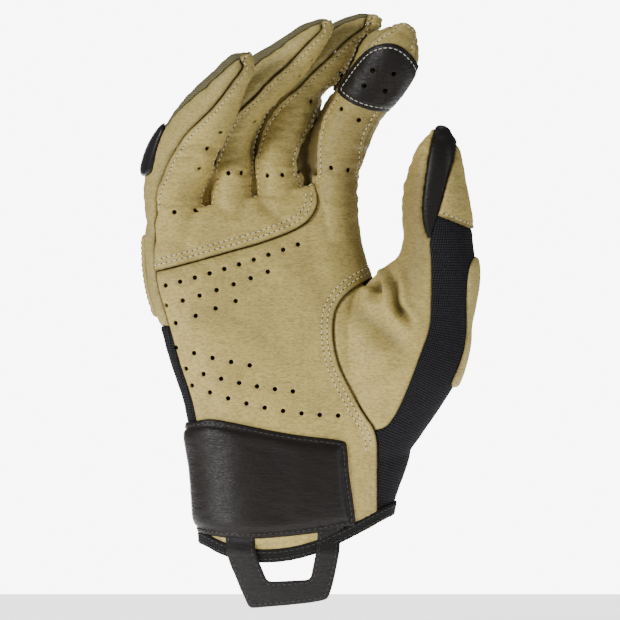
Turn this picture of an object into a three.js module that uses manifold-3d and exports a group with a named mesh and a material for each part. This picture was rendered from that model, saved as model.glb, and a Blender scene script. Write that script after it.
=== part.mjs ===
// A right-hand enduro motorcycle glove, shown in the form that it has on a hand.
// +Z runs from the wrist opening to the fingertips, the palm faces -Y and the thumb is on +X.
// The origin is the middle of the wrist opening. All sizes are in millimetres.
import * as THREE from "three";
import { mergeVertices } from "three/addons/utils/BufferGeometryUtils.js";
import Module from "manifold-3d";

const wasm = await Module();
wasm.setup();

// Driving sizes
const PALM_WIDTH = 86;
const BODY_HEIGHT = 150.5;
const PALM_DEPTH = 40;
const FINGER_WIDTH = 20;
const PINKY_LENGTH = 64.5;
const RING_LENGTH = 77.4;
const MIDDLE_LENGTH = 81.7;
const INDEX_LENGTH = 73.1;
const THUMB_LENGTH = 111.8;
const WALL = 1.6;
const SEAM_GAP = 0.35;

// Sizes of the pieces laid on the skin of the glove
const STRAP_THICKNESS = 2;
const TIP_PAD_THICKNESS = 1.1;
const FINGER_GUARD_THICKNESS = 2.4;
const KNUCKLE_GUARD_THICKNESS = 3;
const THUMB_GUARD_THICKNESS = 2.2;
const BINDING_THICKNESS = 0.9;
const BINDING_HEIGHT = 4;
const PULL_TAB_THICKNESS = 2.2;
const PERFORATION_WIDTH = 2;

// Fineness of the facets
const BODY_SIDES = 20;
const BODY_LINING_SIDES = 14;
const BODY_RINGS = 7;
const FINGER_SIDES = 10;
const FINGER_LINING_SIDES = 7;
const FINGER_RINGS = 7;
const WEDGE_RINGS = 5;
const WEDGE_STEPS = 3;
const PERFORATION_SIDES = 4;
const BODY_REACH = 1.3; // how far a cutting wedge runs out, as a share of the skin's radius
const FINGER_REACH = 1.18;
const FAR = 150; // half the length of a cut that goes right through

// The hand body from below the wrist opening to the finger roots.
// rise is a share of BODY_HEIGHT, left and right of PALM_WIDTH, front and back of PALM_DEPTH.
const BODY = [
  { rise: -0.24, left: -0.455, right: 0.465, front: 0.51, back: 0.5, tilt: 0 },
  { rise: -0.06, left: -0.47, right: 0.48, front: 0.53, back: 0.51, tilt: 0 },
  { rise: 0.1, left: -0.485, right: 0.51, front: 0.52, back: 0.5, tilt: 0 },
  { rise: 0.25, left: -0.515, right: 0.555, front: 0.5, back: 0.48, tilt: 0 },
  { rise: 0.39, left: -0.56, right: 0.57, front: 0.5, back: 0.47, tilt: 0 },
  { rise: 0.52, left: -0.63, right: 0.53, front: 0.49, back: 0.46, tilt: 0.02 },
  { rise: 0.64, left: -0.685, right: 0.46, front: 0.46, back: 0.45, tilt: 0.04 },
  { rise: 0.75, left: -0.735, right: 0.39, front: 0.42, back: 0.43, tilt: 0.06 },
  { rise: 0.85, left: -0.75, right: 0.335, front: 0.38, back: 0.4, tilt: 0.1 },
  { rise: 0.93, left: -0.75, right: 0.3, front: 0.335, back: 0.35, tilt: 0.16 },
  { rise: 0.975, left: -0.735, right: 0.285, front: 0.28, back: 0.3, tilt: 0.2 },
];
const BODY_SQUARENESS = 2.5;

// The five finger tubes from root to tip. across, rise and forward are shares of the finger's
// length measured from its root, wide and deep of FINGER_WIDTH, and roll turns the palmar
// side from facing forward towards the thumb side, in degrees.
const FINGERS = {
  pinky: {
    length: PINKY_LENGTH,
    root: { across: -0.58, rise: 0.9 },
    sections: [
      { across: 0.0, rise: -0.15, forward: 0.0, wide: 1.2, deep: 1.3, roll: 15 },
      { across: -0.03, rise: 0.2, forward: 0.015, wide: 1.34, deep: 1.25, roll: 22 },
      { across: 0.0, rise: 0.4, forward: 0.12, wide: 1.36, deep: 1.15, roll: 38 },
      { across: 0.09, rise: 0.59, forward: 0.27, wide: 1.25, deep: 1.05, roll: 46 },
      { across: 0.2, rise: 0.75, forward: 0.42, wide: 1.16, deep: 0.95, roll: 56 },
      { across: 0.32, rise: 0.93, forward: 0.59, wide: 0.82, deep: 0.82, roll: 72 },
      { across: 0.41, rise: 1.05, forward: 0.69, wide: 0.6, deep: 0.6, roll: 80 },
      { across: 0.445, rise: 1.09, forward: 0.72, wide: 0.32, deep: 0.32, roll: 82 },
    ],
  },
  ring: {
    length: RING_LENGTH,
    root: { across: -0.32, rise: 0.929 },
    sections: [
      { across: 0.0, rise: -0.15, forward: 0.0, wide: 0.95, deep: 1.3, roll: 5 },
      { across: 0.0, rise: 0.16, forward: 0.0, wide: 0.96, deep: 1.25, roll: 8 },
      { across: -0.01, rise: 0.32, forward: -0.015, wide: 0.96, deep: 1.1, roll: 25 },
      { across: 0.01, rise: 0.47, forward: 0.013, wide: 0.96, deep: 1.0, roll: 42 },
      { across: 0.075, rise: 0.61, forward: 0.09, wide: 0.92, deep: 0.95, roll: 55 },
      { across: 0.165, rise: 0.74, forward: 0.18, wide: 1.07, deep: 0.95, roll: 76 },
      { across: 0.3, rise: 0.845, forward: 0.26, wide: 0.95, deep: 0.9, roll: 72 },
      { across: 0.42, rise: 0.955, forward: 0.335, wide: 0.72, deep: 0.75, roll: 70 },
      { across: 0.5, rise: 1.025, forward: 0.385, wide: 0.45, deep: 0.48, roll: 70 },
      { across: 0.525, rise: 1.045, forward: 0.4, wide: 0.25, deep: 0.28, roll: 70 },
    ],
  },
  middle: {
    length: MIDDLE_LENGTH,
    root: { across: -0.08, rise: 0.943 },
    sections: [
      { across: 0.0, rise: -0.15, forward: 0.0, wide: 1.0, deep: 1.3, roll: -5 },
      { across: -0.01, rise: 0.16, forward: 0.0, wide: 1.0, deep: 1.25, roll: -8 },
      { across: -0.01, rise: 0.28, forward: -0.01, wide: 0.98, deep: 1.15, roll: -6 },
      { across: 0.015, rise: 0.42, forward: -0.015, wide: 1.0, deep: 1.05, roll: 11 },
      { across: 0.07, rise: 0.55, forward: -0.005, wide: 0.98, deep: 1.0, roll: 30 },
      { across: 0.13, rise: 0.67, forward: 0.012, wide: 0.92, deep: 0.95, roll: 58 },
      { across: 0.245, rise: 0.785, forward: 0.06, wide: 0.98, deep: 0.95, roll: 60 },
      { across: 0.34, rise: 0.885, forward: 0.11, wide: 0.93, deep: 0.9, roll: 64 },
      { across: 0.435, rise: 0.955, forward: 0.15, wide: 0.66, deep: 0.68, roll: 66 },
      { across: 0.495, rise: 0.985, forward: 0.17, wide: 0.36, deep: 0.38, roll: 66 },
    ],
  },
  index: {
    length: INDEX_LENGTH,
    root: { across: 0.195, rise: 0.957 },
    sections: [
      { across: 0.0, rise: -0.2, forward: 0.0, wide: 0.95, deep: 1.3, roll: 5 },
      { across: 0.0, rise: 0.15, forward: 0.01, wide: 0.97, deep: 1.2, roll: 12 },
      { across: 0.02, rise: 0.3, forward: 0.04, wide: 1.08, deep: 1.12, roll: 8 },
      { across: 0.07, rise: 0.455, forward: 0.095, wide: 1.13, deep: 1.08, roll: -6 },
      { across: 0.155, rise: 0.61, forward: 0.165, wide: 1.12, deep: 1.04, roll: -5 },
      { across: 0.26, rise: 0.755, forward: 0.246, wide: 1.18, deep: 0.98, roll: 0 },
      { across: 0.33, rise: 0.875, forward: 0.315, wide: 1.18, deep: 0.9, roll: 2 },
      { across: 0.385, rise: 0.96, forward: 0.355, wide: 0.88, deep: 0.68, roll: 2 },
      { across: 0.415, rise: 1.005, forward: 0.37, wide: 0.48, deep: 0.36, roll: 2 },
    ],
  },
  thumb: {
    length: THUMB_LENGTH,
    root: { across: 0.36, rise: 0.314 },
    sections: [
      { across: -0.03, rise: -0.12, forward: 0.02, wide: 1.5, deep: 1.4, roll: -80 },
      { across: 0.06, rise: 0.095, forward: 0.04, wide: 2.1, deep: 1.65, roll: -80 },
      { across: 0.13, rise: 0.27, forward: 0.08, wide: 2.85, deep: 1.65, roll: -80 },
      { across: 0.17, rise: 0.455, forward: 0.11, wide: 2.65, deep: 1.6, roll: -80 },
      { across: 0.235, rise: 0.6, forward: 0.14, wide: 1.98, deep: 1.45, roll: -80 },
      { across: 0.268, rise: 0.73, forward: 0.17, wide: 1.48, deep: 1.34, roll: -75 },
      { across: 0.262, rise: 0.82, forward: 0.19, wide: 1.47, deep: 1.28, roll: -75 },
      { across: 0.256, rise: 0.92, forward: 0.21, wide: 1.36, deep: 1.2, roll: -75 },
      { across: 0.265, rise: 1.03, forward: 0.23, wide: 1.05, deep: 1.02, roll: -75 },
      { across: 0.273, rise: 1.1, forward: 0.24, wide: 0.74, deep: 0.74, roll: -75 },
      { across: 0.275, rise: 1.135, forward: 0.245, wide: 0.42, deep: 0.4, roll: -75 },
    ],
  },
};
const LONG_FINGERS = ["pinky", "ring", "middle", "index"];

// The broad hollows and folds of the worn leather, pressed in from the front.
// across is a share of PALM_WIDTH, rise of BODY_HEIGHT, radii and depth in shares of PALM_DEPTH.
const DENTS = [
  { across: -0.1, rise: 0.62, wide: 0.6, tall: 0.75, lean: 0, deep: 0.07 },
  { across: 0.4, rise: 0.7, wide: 0.14, tall: 0.24, lean: -15, deep: 0.1 },
  { across: 0.5, rise: 0.64, wide: 0.14, tall: 0.34, lean: -40, deep: 0.09 },
  { across: 0.36, rise: 0.6, wide: 0.16, tall: 0.36, lean: 50, deep: 0.05 },
  { across: -0.43, rise: 1.0, wide: 0.3, tall: 0.12, lean: 12, deep: 0.05 },
];

// Seams and edges as lines in the palm's plane: across in shares of PALM_WIDTH, rise of BODY_HEIGHT
const RIM = [
  [-0.6, 0.0],
  [-0.47, -0.006],
  [-0.36, -0.045],
  [-0.17, -0.066],
  [0.06, -0.048],
  [0.28, 0.01],
  [0.49, 0.078],
  [0.7, 0.12],
];
const UPPER_PALM_SEAM = [
  [-1.7, 0.74],
  [-0.85, 0.78],
  [-0.69, 0.788],
  [-0.55, 0.802],
  [-0.385, 0.838],
  [-0.2, 0.866],
  [-0.05, 0.902],
  [0.06, 0.936],
  [0.095, 0.975],
  [0.075, 1.03],
  [0.065, 1.09],
  [0.08, 1.16],
  [0.12, 1.234],
  [0.16, 1.286],
  [0.27, 1.343],
  [0.35, 1.4],
  [0.41, 1.44],
  [0.46, 1.48],
];
// The line that parts the thumb from the index finger, down to the web between them
const THUMB_PARTING = [
  [1.7, 1.214],
  [0.92, 1.214],
  [0.595, 1.2],
  [0.445, 1.114],
  [0.42, 0.886],
  [0.43, 0.79],
];
const THUMB_SEAM = [
  [0.34, 0.757],
  [0.24, 0.72],
  [0.15, 0.655],
  [0.13, 0.586],
  [0.15, 0.51],
  [0.23, 0.425],
  [0.33, 0.343],
  [0.41, 0.286],
  [0.4, 0.2],
  [0.4, -0.2],
  [1.7, -0.2],
];
const THUMB_BACK_SEAM = [
  [0.42, 0.6],
  [0.41, 0.3],
  [0.4, -0.2],
  [1.7, -0.2],
];
const STRETCH_EDGE = [
  [0.66, 0.85],
  [0.674, 0.79],
  [0.674, 0.674],
  [0.67, 0.606],
  [0.628, 0.541],
  [0.577, 0.46],
  [0.505, 0.36],
  [0.42, 0.3],
  [-0.2, 0.3],
  [-0.2, 1.19],
  [0.72, 1.19],
];
const THUMB_STRIP = [
  [0.72, 1.19],
  [0.675, 1.15],
  [0.638, 1.015],
  [0.62, 0.92],
  [0.66, 0.85],
  [0.7, 0.935],
  [0.735, 1.03],
  [0.762, 1.19],
];
const THUMB_HEM = [
  [0.3, 0.94],
  [0.7, 0.935],
  [0.905, 0.874],
  [1.5, 0.85],
  [1.5, 1.4],
  [0.3, 1.4],
];
const THUMB_GUARD = [
  [0.853, 0.79],
  [0.843, 0.674],
  [0.848, 0.588],
  [0.82, 0.514],
  [0.76, 0.437],
  [1.1, 0.437],
  [1.1, 0.823],
  [0.91, 0.823],
];
const TIP_PAD = [
  [0.2, 1.28],
  [0.335, 1.39],
  [0.42, 1.412],
  [0.49, 1.414],
  [0.56, 1.39],
  [0.62, 1.34],
  [0.62, 1.24],
  [0.51, 1.22],
  [0.35, 1.226],
  [0.26, 1.25],
];
const STRAP_FRONT = [
  [-0.75, 0.325],
  [-0.5, 0.34],
  [-0.43, 0.35],
  [-0.315, 0.338],
  [-0.04, 0.304],
  [0.23, 0.288],
  [0.255, 0.278],
  [0.26, 0.2],
  [0.298, 0.056],
  [0.29, 0.04],
  [0.24, 0.04],
  [0.1, 0.022],
  [-0.175, 0.006],
  [-0.36, 0.008],
  [-0.5, 0.026],
  [-0.75, 0.03],
];
const STRAP_BACK = [
  [-0.75, 0.325],
  [-0.4, 0.33],
  [0.1, 0.33],
  [0.12, 0.31],
  [0.12, 0.06],
  [0.1, 0.04],
  [-0.4, 0.03],
  [-0.75, 0.03],
];
const PULL_TAB = [
  [-0.355, 0.0],
  [-0.342, -0.03],
  [-0.226, -0.19],
  [0.13, -0.172],
  [0.17, -0.153],
  [0.225, 0.01],
  [0.225, 0.03],
  [0.105, 0.016],
  [0.11, 0.006],
  [0.07, -0.108],
  [-0.137, -0.114],
  [-0.205, -0.023],
  [-0.2, 0.0],
];
const KNUCKLE_GUARD = [
  [-0.9, 0.866],
  [-0.9, 0.654],
  [-0.6, 0.63],
  [-0.1, 0.64],
  [0.2, 0.67],
  [0.24, 0.75],
  [0.2, 0.83],
  [-0.1, 0.87],
  [-0.5, 0.885],
];
const PINKY_PAD = [
  [-0.9, 1.03],
  [-0.715, 1.04],
  [-0.69, 1.11],
  [-0.64, 1.19],
  [-0.65, 1.225],
  [-0.9, 1.225],
];
// The back cuff ends below this height, as a share of BODY_HEIGHT
const BACK_CUFF_TOP = 0.61;

// Ventilation holes through the palm: rows from one point to another, bowed downwards by bow
const PALM_PERFORATIONS = [
  { from: [-0.65, 0.727], to: [0.01, 0.844], count: 10, bow: 0.005 },
  { from: [-0.65, 0.67], to: [-0.14, 0.766], count: 7, bow: 0.004 },
  { from: [-0.6, 0.62], to: [-0.3, 0.683], count: 4, bow: 0 },
  { from: [-0.6, 0.55], to: [-0.23, 0.5], count: 5, bow: 0.004 },
  { from: [-0.55, 0.49], to: [-0.015, 0.426], count: 7, bow: 0.008 },
  { from: [-0.52, 0.442], to: [0.21, 0.357], count: 9, bow: 0.02 },
];
// Ventilation holes in the fingers: at is a share of the tube, turn an angle from its palmar line
const FINGER_PERFORATIONS = [
  { finger: "pinky", at: 0.1, turn: -20 },
  { finger: "pinky", at: 0.1, turn: 22 },
  { finger: "pinky", at: 0.36, turn: 0 },
  { finger: "pinky", at: 0.46, turn: 2 },
  { finger: "pinky", at: 0.56, turn: 4 },
  { finger: "ring", at: 0.14, turn: -18 },
  { finger: "ring", at: 0.14, turn: 18 },
  { finger: "ring", at: 0.43, turn: 0 },
  { finger: "ring", at: 0.68, turn: 0 },
  { finger: "ring", at: 0.75, turn: 0 },
  { finger: "middle", at: 0.12, turn: -20 },
  { finger: "middle", at: 0.12, turn: 20 },
  { finger: "middle", at: 0.5, turn: 0 },
  { finger: "middle", at: 0.6, turn: 0 },
  { finger: "middle", at: 0.68, turn: 0 },
  { finger: "middle", at: 0.76, turn: 0 },
  { finger: "index", at: 0.2, turn: -22 },
  { finger: "index", at: 0.2, turn: 22 },
  { finger: "index", at: 0.46, turn: -24 },
  { finger: "index", at: 0.46, turn: 24 },
];

// Angles on a section, in degrees from its thumb side through the front
const FRONT_FROM = -30;
const FRONT_TO = 156;
const BACK_FROM = 190;
const BACK_TO = 330;
const PALMAR_HALF = 60; // half the angle that a finger's front takes
const DORSAL_HALF = 60; // half the angle that a finger's back takes

const rad = THREE.MathUtils.degToRad;

// Solids, joins and cuts

function solidFrom(positions, triangles) {
  const geometry = new THREE.BufferGeometry();
  geometry.setAttribute("position", new THREE.Float32BufferAttribute(positions, 3));
  geometry.setIndex(triangles);
  const merged = mergeVertices(geometry, 1e-4);
  const made = new wasm.Manifold(
    new wasm.Mesh({
      numProp: 3,
      vertProperties: merged.attributes.position.array,
      triVerts: new Uint32Array(merged.index.array),
    }),
  );
  return made.volume() < 0 ? solidFrom(positions, triangles.toReversed()) : made;
}

// A closed solid through rings of equally many points, flat at both ends
function loft(rings) {
  const sides = rings[0].length;
  const positions = rings.flat().flatMap((p) => [p.x, p.y, p.z]);
  const triangles = [];
  for (let i = 0; i + 1 < rings.length; i++) {
    for (let k = 0; k < sides; k++) {
      const a = i * sides + k;
      const b = i * sides + ((k + 1) % sides);
      triangles.push(a, b, b + sides, a, b + sides, a + sides);
    }
  }
  for (const [ring, start] of [
    [rings[0], 0],
    [rings.at(-1), (rings.length - 1) * sides],
  ]) {
    const middle = ring.reduce((sum, p) => sum.add(p), new THREE.Vector3());
    middle.divideScalar(sides);
    const hub = positions.length / 3;
    positions.push(middle.x, middle.y, middle.z);
    for (let k = 0; k < sides; k++) {
      const next = (k + 1) % sides;
      if (start === 0) triangles.push(hub, start + next, start + k);
      else triangles.push(hub, start + k, start + next);
    }
  }
  return solidFrom(positions, triangles);
}

// A prism over an outline in the palm's plane, whose front and back may follow its points
function prism(outline, front = () => -FAR, back = () => FAR) {
  const points = outline.map(([x, z]) => new THREE.Vector2(x, z));
  if (THREE.ShapeUtils.isClockWise(points)) points.reverse();
  const count = points.length;
  const positions = [front, back].flatMap((y) => points.flatMap((p) => [p.x, y(p), p.y]));
  const triangles = [];
  for (const [a, b, c] of THREE.ShapeUtils.triangulateShape(points, [])) {
    triangles.push(a, b, c, c + count, b + count, a + count);
  }
  for (let k = 0; k < count; k++) {
    const next = (k + 1) % count;
    triangles.push(k, next + count, next, k, k + count, next + count);
  }
  return solidFrom(positions, triangles);
}

const union = (solids) => solids.reduce((sum, solid) => sum.add(solid));

// A cutting zone made larger by the gap of a seam, both ways along two axes
const [X, Y, Z] = [0, 1, 2];
function grown(zone, axes) {
  const ways = axes.flatMap((axis) =>
    [1, -1].map((sign) => [0, 1, 2].map((i) => (i === axis ? sign * SEAM_GAP : 0))),
  );
  return union(ways.map((way) => zone.translate(way)));
}

// The largest body of a cut solid, so that slivers along a seam fall away
function largest(solid) {
  return solid.decompose().sort((a, b) => b.volume() - a.volume())[0];
}

function meshOf(name, solid, look) {
  const data = solid.getMesh();
  const geometry = new THREE.BufferGeometry();
  geometry.setAttribute("position", new THREE.BufferAttribute(data.vertProperties, 3));
  geometry.setIndex(new THREE.BufferAttribute(data.triVerts, 1));
  geometry.computeVertexNormals();
  const mesh = new THREE.Mesh(geometry, look);
  mesh.name = name;
  return mesh;
}

// Sizes in the palm's plane

const place = ([across, rise]) => [across * PALM_WIDTH, rise * BODY_HEIGHT];
const outline = (rows) => rows.map(place);

// A smooth value through the rows of a table, at a share of the way from first to last
function through(rows, key, share) {
  const at = THREE.MathUtils.clamp(share, 0, 1) * (rows.length - 1);
  const i = Math.min(Math.floor(at), rows.length - 2);
  const t = at - i;
  const value = (j) => rows[THREE.MathUtils.clamp(j, 0, rows.length - 1)][key];
  const [a, b, c, d] = [value(i - 1), value(i), value(i + 1), value(i + 2)];
  return (
    b +
    0.5 * t * (c - a + t * (2 * a - 5 * b + 4 * c - d + t * (3 * (b - c) + d - a)))
  );
}

// How far the dents press a point of the front skin back
function dentAt(x, z) {
  let sum = 0;
  for (const dent of DENTS) {
    const dx = x - dent.across * PALM_WIDTH;
    const dz = z - dent.rise * BODY_HEIGHT;
    const c = Math.cos(rad(dent.lean));
    const s = Math.sin(rad(dent.lean));
    const u = (c * dx + s * dz) / (dent.wide * PALM_DEPTH);
    const v = (c * dz - s * dx) / (dent.tall * PALM_DEPTH);
    sum += dent.deep * PALM_DEPTH * Math.exp(-(u * u + v * v));
  }
  return sum;
}

// The hand body

const power = (value) => Math.sign(value) * Math.abs(value) ** (2 / BODY_SQUARENESS);

function bodyStation(share) {
  const get = (key) => through(BODY, key, share);
  return {
    centre: new THREE.Vector3(
      ((get("left") + get("right")) / 2) * PALM_WIDTH,
      0,
      get("rise") * BODY_HEIGHT,
    ),
    half: ((get("right") - get("left")) / 2) * PALM_WIDTH,
    front: get("front") * PALM_DEPTH,
    back: get("back") * PALM_DEPTH,
    tilt: get("tilt"),
  };
}

function bodyPoint(station, angle, grow, scale = 1) {
  const c = power(Math.cos(rad(angle)));
  const s = power(Math.sin(rad(angle)));
  const depth = s > 0 ? station.front : station.back;
  const x = (station.half + grow) * scale * c;
  return new THREE.Vector3(
    station.centre.x + x,
    -(depth + grow) * scale * s,
    station.centre.z + station.tilt * x,
  );
}

function bodySolid(grow, sides = BODY_SIDES) {
  const rings = [];
  for (let i = 0; i <= BODY_RINGS; i++) {
    const station = bodyStation(i / BODY_RINGS);
    if (i === BODY_RINGS) station.centre.z += grow;
    const ring = [];
    for (let k = 0; k < sides; k++) {
      const angle = (360 * k) / sides;
      const point = bodyPoint(station, angle, grow);
      const facing = Math.max(0, Math.sin(rad(angle)));
      point.y += Math.sqrt(facing) * dentAt(point.x, point.z);
      ring.push(point);
    }
    rings.push(ring);
  }
  return loft(rings);
}

// A wedge of the body between two angles
function bodyWedge(from, to) {
  const rings = [];
  for (let i = 0; i <= WEDGE_RINGS; i++) {
    const station = bodyStation(i / WEDGE_RINGS);
    if (i === 0) station.centre.z -= BODY_HEIGHT;
    if (i === WEDGE_RINGS) station.centre.z += WALL;
    const ring = [station.centre.clone()];
    for (let k = 0; k <= WEDGE_STEPS; k++) {
      const angle = from + ((to - from) * k) / WEDGE_STEPS;
      ring.push(bodyPoint(station, angle, 0, BODY_REACH));
    }
    rings.push(ring);
  }
  return loft(rings);
}

// The fingers

function fingerStation(finger, share) {
  const { length, root, sections } = finger;
  const spot = (s) =>
    new THREE.Vector3(
      root.across * PALM_WIDTH + through(sections, "across", s) * length,
      -through(sections, "forward", s) * length,
      root.rise * BODY_HEIGHT + through(sections, "rise", s) * length,
    );
  const step = 0.02;
  const along = spot(Math.min(1, share + step)).sub(spot(Math.max(0, share - step)));
  along.normalize();
  const side = new THREE.Vector3(along.z, 0, -along.x).normalize();
  return {
    centre: spot(share),
    along,
    side,
    ahead: side.clone().cross(along),
    wide: (through(sections, "wide", share) * FINGER_WIDTH) / 2,
    deep: (through(sections, "deep", share) * FINGER_WIDTH) / 2,
    roll: through(sections, "roll", share),
  };
}

function fingerPoint(station, angle, grow, scale = 1) {
  return station.centre
    .clone()
    .addScaledVector(station.side, (station.wide + grow) * scale * Math.cos(rad(angle)))
    .addScaledVector(station.ahead, (station.deep + grow) * scale * Math.sin(rad(angle)));
}

function fingerSolid(finger, grow, sides = FINGER_SIDES) {
  const rings = [];
  for (let i = 0; i <= FINGER_RINGS; i++) {
    const station = fingerStation(finger, i / FINGER_RINGS);
    if (i === FINGER_RINGS) station.centre.addScaledVector(station.along, grow);
    const ring = [];
    for (let k = 0; k < sides; k++) {
      const angle = 90 - station.roll + (360 * k) / sides;
      const point = fingerPoint(station, angle, grow);
      const facing = Math.max(0, Math.sin(rad(angle)));
      point.y += Math.sqrt(facing) * dentAt(point.x, point.z);
      ring.push(point);
    }
    rings.push(ring);
  }
  return loft(rings);
}

// A wedge along a finger, on both sides of a line at an angle from its palmar line
function fingerWedge(finger, towards, half) {
  const rings = [];
  for (let i = 0; i <= WEDGE_RINGS; i++) {
    const station = fingerStation(finger, i / WEDGE_RINGS);
    if (i === WEDGE_RINGS) station.centre.addScaledVector(station.along, FINGER_WIDTH / 2);
    const ring = [station.centre.clone()];
    for (let k = 0; k <= WEDGE_STEPS; k++) {
      const angle = 90 - station.roll + towards + half * ((2 * k) / WEDGE_STEPS - 1);
      ring.push(fingerPoint(station, angle, 0, FINGER_REACH));
    }
    rings.push(ring);
  }
  return loft(rings);
}

const fingers = LONG_FINGERS.map((name) => FINGERS[name]);
const tubes = (grow, sides) =>
  Object.values(FINGERS).map((finger) => fingerSolid(finger, grow, sides));

// The hollow skin of the whole glove, open at the wrist

const rim = outline(RIM);
const TOP = 2 * BODY_HEIGHT;
const above = (line, lift = 0) =>
  prism([
    ...line.map(([x, z]) => [x, z + lift]),
    [line.at(-1)[0] + FAR, line.at(-1)[1] + lift],
    [line.at(-1)[0] + FAR, TOP],
    [line[0][0] - FAR, TOP],
    [line[0][0] - FAR, line[0][1] + lift],
  ]);
const EDGE_LIFT = BINDING_THICKNESS + SEAM_GAP; // the skin stops this far above the binding's foot
const outer = union([bodySolid(0), ...tubes(0)]);
const inner = union([
  bodySolid(-WALL, BODY_LINING_SIDES),
  ...tubes(-WALL, FINGER_LINING_SIDES),
]);
const skin = outer.subtract(inner).intersect(above(rim, EDGE_LIFT));

// Cuts along the seams

// Where an outline seen from the front ends and one seen from the back begins
const sideLine = () => 0.03 * PALM_DEPTH;
// The strip between the roots of the fingers, where the side panels meet
const crotch = prism(
  outline([
    [-0.5, 0.88],
    [0.13, 0.95],
    [0.13, 1.07],
    [-0.5, 1.0],
  ]),
  () => -0.13 * PALM_DEPTH,
  () => 0.13 * PALM_DEPTH,
);
const fronts = union([
  bodyWedge(FRONT_FROM, FRONT_TO),
  ...fingers.map((finger) => fingerWedge(finger, 0, PALMAR_HALF)),
]).subtract(crotch);
const backs = union([
  bodyWedge(BACK_FROM, BACK_TO),
  ...fingers.map((finger) => fingerWedge(finger, 180, DORSAL_HALF)),
]).subtract(crotch);
const upperPalm = prism(outline([...UPPER_PALM_SEAM, [-1.7, 1.6]]));
const thumbZone = union([
  prism(outline([...THUMB_PARTING, ...THUMB_SEAM]), () => -FAR, sideLine),
  prism(outline([...THUMB_PARTING, ...THUMB_BACK_SEAM]), sideLine),
]);
const cuffZone = above(outline([[-1, BACK_CUFF_TOP], [1, BACK_CUFF_TOP]]));

const handSkin = skin.subtract(grown(thumbZone, [X, Z]));
const thumbSkin = skin.intersect(thumbZone);
const handFront = handSkin.intersect(fronts);
const handRest = handSkin.subtract(grown(fronts, [X, Y]));
const handUpper = handRest.intersect(cuffZone.translate([0, 0, SEAM_GAP]));
const handBack = handUpper.intersect(backs);
// Left to right: the outer side of the hand, the sides between the fingers, the index side
const handSides = handUpper
  .subtract(grown(backs, [X, Y]))
  .decompose()
  .sort((a, b) => b.volume() - a.volume())
  .slice(0, 5)
  .sort((a, b) => a.boundingBox().min[0] - b.boundingBox().min[0]);

// Ventilation holes

function drill(from, towards, length) {
  const radius = PERFORATION_WIDTH / 2;
  const bore = new THREE.CylinderGeometry(radius, radius, length, PERFORATION_SIDES);
  bore.translate(0, length / 2, 0);
  const up = new THREE.Vector3(0, 1, 0);
  bore.applyQuaternion(new THREE.Quaternion().setFromUnitVectors(up, towards));
  bore.translate(from.x, from.y, from.z);
  bore.deleteAttribute("normal");
  bore.deleteAttribute("uv");
  const merged = mergeVertices(bore, 1e-4);
  return solidFrom([...merged.attributes.position.array], [...merged.index.array]);
}

const palmBores = PALM_PERFORATIONS.flatMap((row) =>
  Array.from({ length: row.count }, (_, i) => {
    const t = i / (row.count - 1);
    const [x, z] = place([
      THREE.MathUtils.lerp(row.from[0], row.to[0], t),
      THREE.MathUtils.lerp(row.from[1], row.to[1], t) - row.bow * 4 * t * (1 - t),
    ]);
    return drill(new THREE.Vector3(x, 0, z), new THREE.Vector3(0, -1, 0), PALM_DEPTH);
  }),
);
const fingerBores = FINGER_PERFORATIONS.map(({ finger, at, turn }) => {
  const station = fingerStation(FINGERS[finger], at);
  const mark = fingerPoint(station, 90 - station.roll + turn, 0);
  const towards = mark.sub(station.centre).normalize();
  return drill(station.centre, towards, 0.75 * FINGER_WIDTH);
});
const bores = union([...palmBores, ...fingerBores]);

// The thumb's panels

// The middle of the thumb's depth at a height, which parts its front from its back
const thumbMiddle = (p) => 0.12 * PALM_DEPTH - 0.2 * Math.max(0, p.y - 0.3 * BODY_HEIGHT);
const beforeThumb = (rows) => prism(outline(rows), () => -FAR, thumbMiddle);
const stripZone = beforeThumb(THUMB_STRIP);
const thumbFrontZone = beforeThumb(STRETCH_EDGE);
const thumbTipZone = prism(outline(THUMB_HEM));
const thumbRest = thumbSkin
  .subtract(grown(stripZone, [X, Y]))
  .subtract(grown(thumbFrontZone, [X, Y]));

// Pieces laid on the skin

// A sheet on a tube, from one height over the skin to another
const sheet = (solidAt, height, thickness) =>
  solidAt(height + thickness).subtract(solidAt(height));
const thumbAt = (grow) => fingerSolid(FINGERS.thumb, grow);
const indexAt = (grow) => fingerSolid(FINGERS.index, grow);
const pinkyAt = (grow) => fingerSolid(FINGERS.pinky, grow);

const indexMiddle = (p) => -0.42 * PALM_DEPTH - 0.5 * (p.y - 1.32 * BODY_HEIGHT);
const strapZone = union([
  prism(outline(STRAP_FRONT), () => -FAR, sideLine),
  prism(outline(STRAP_BACK), sideLine),
]);
const bindingWall = SEAM_GAP + BINDING_THICKNESS;
const bindingBlock = bodySolid(bindingWall)
  .subtract(bodySolid(-WALL - bindingWall, BODY_LINING_SIDES))
  .intersect(above(rim))
  .subtract(above(rim, BINDING_HEIGHT));
const bindingSlot = bodySolid(SEAM_GAP)
  .subtract(bodySolid(-WALL - SEAM_GAP, BODY_LINING_SIDES))
  .intersect(above(rim, BINDING_THICKNESS));

// The named pieces

const group = new THREE.Group();
const TAN = 0xbeb083;
const OLIVE = 0x7b7654;
const BLACK = 0x26221f;
const WOVEN = 0x201e20;

function add(name, solid, color, roughness) {
  const look = new THREE.MeshStandardMaterial({ color, roughness, metalness: 0 });
  look.name = name;
  group.add(meshOf(name, largest(solid), look));
}
const sideNames = [
  "outer_side_panel",
  "pinky_ring_fourchette",
  "ring_middle_fourchette",
  "middle_index_fourchette",
  "index_side_panel",
];

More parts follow.
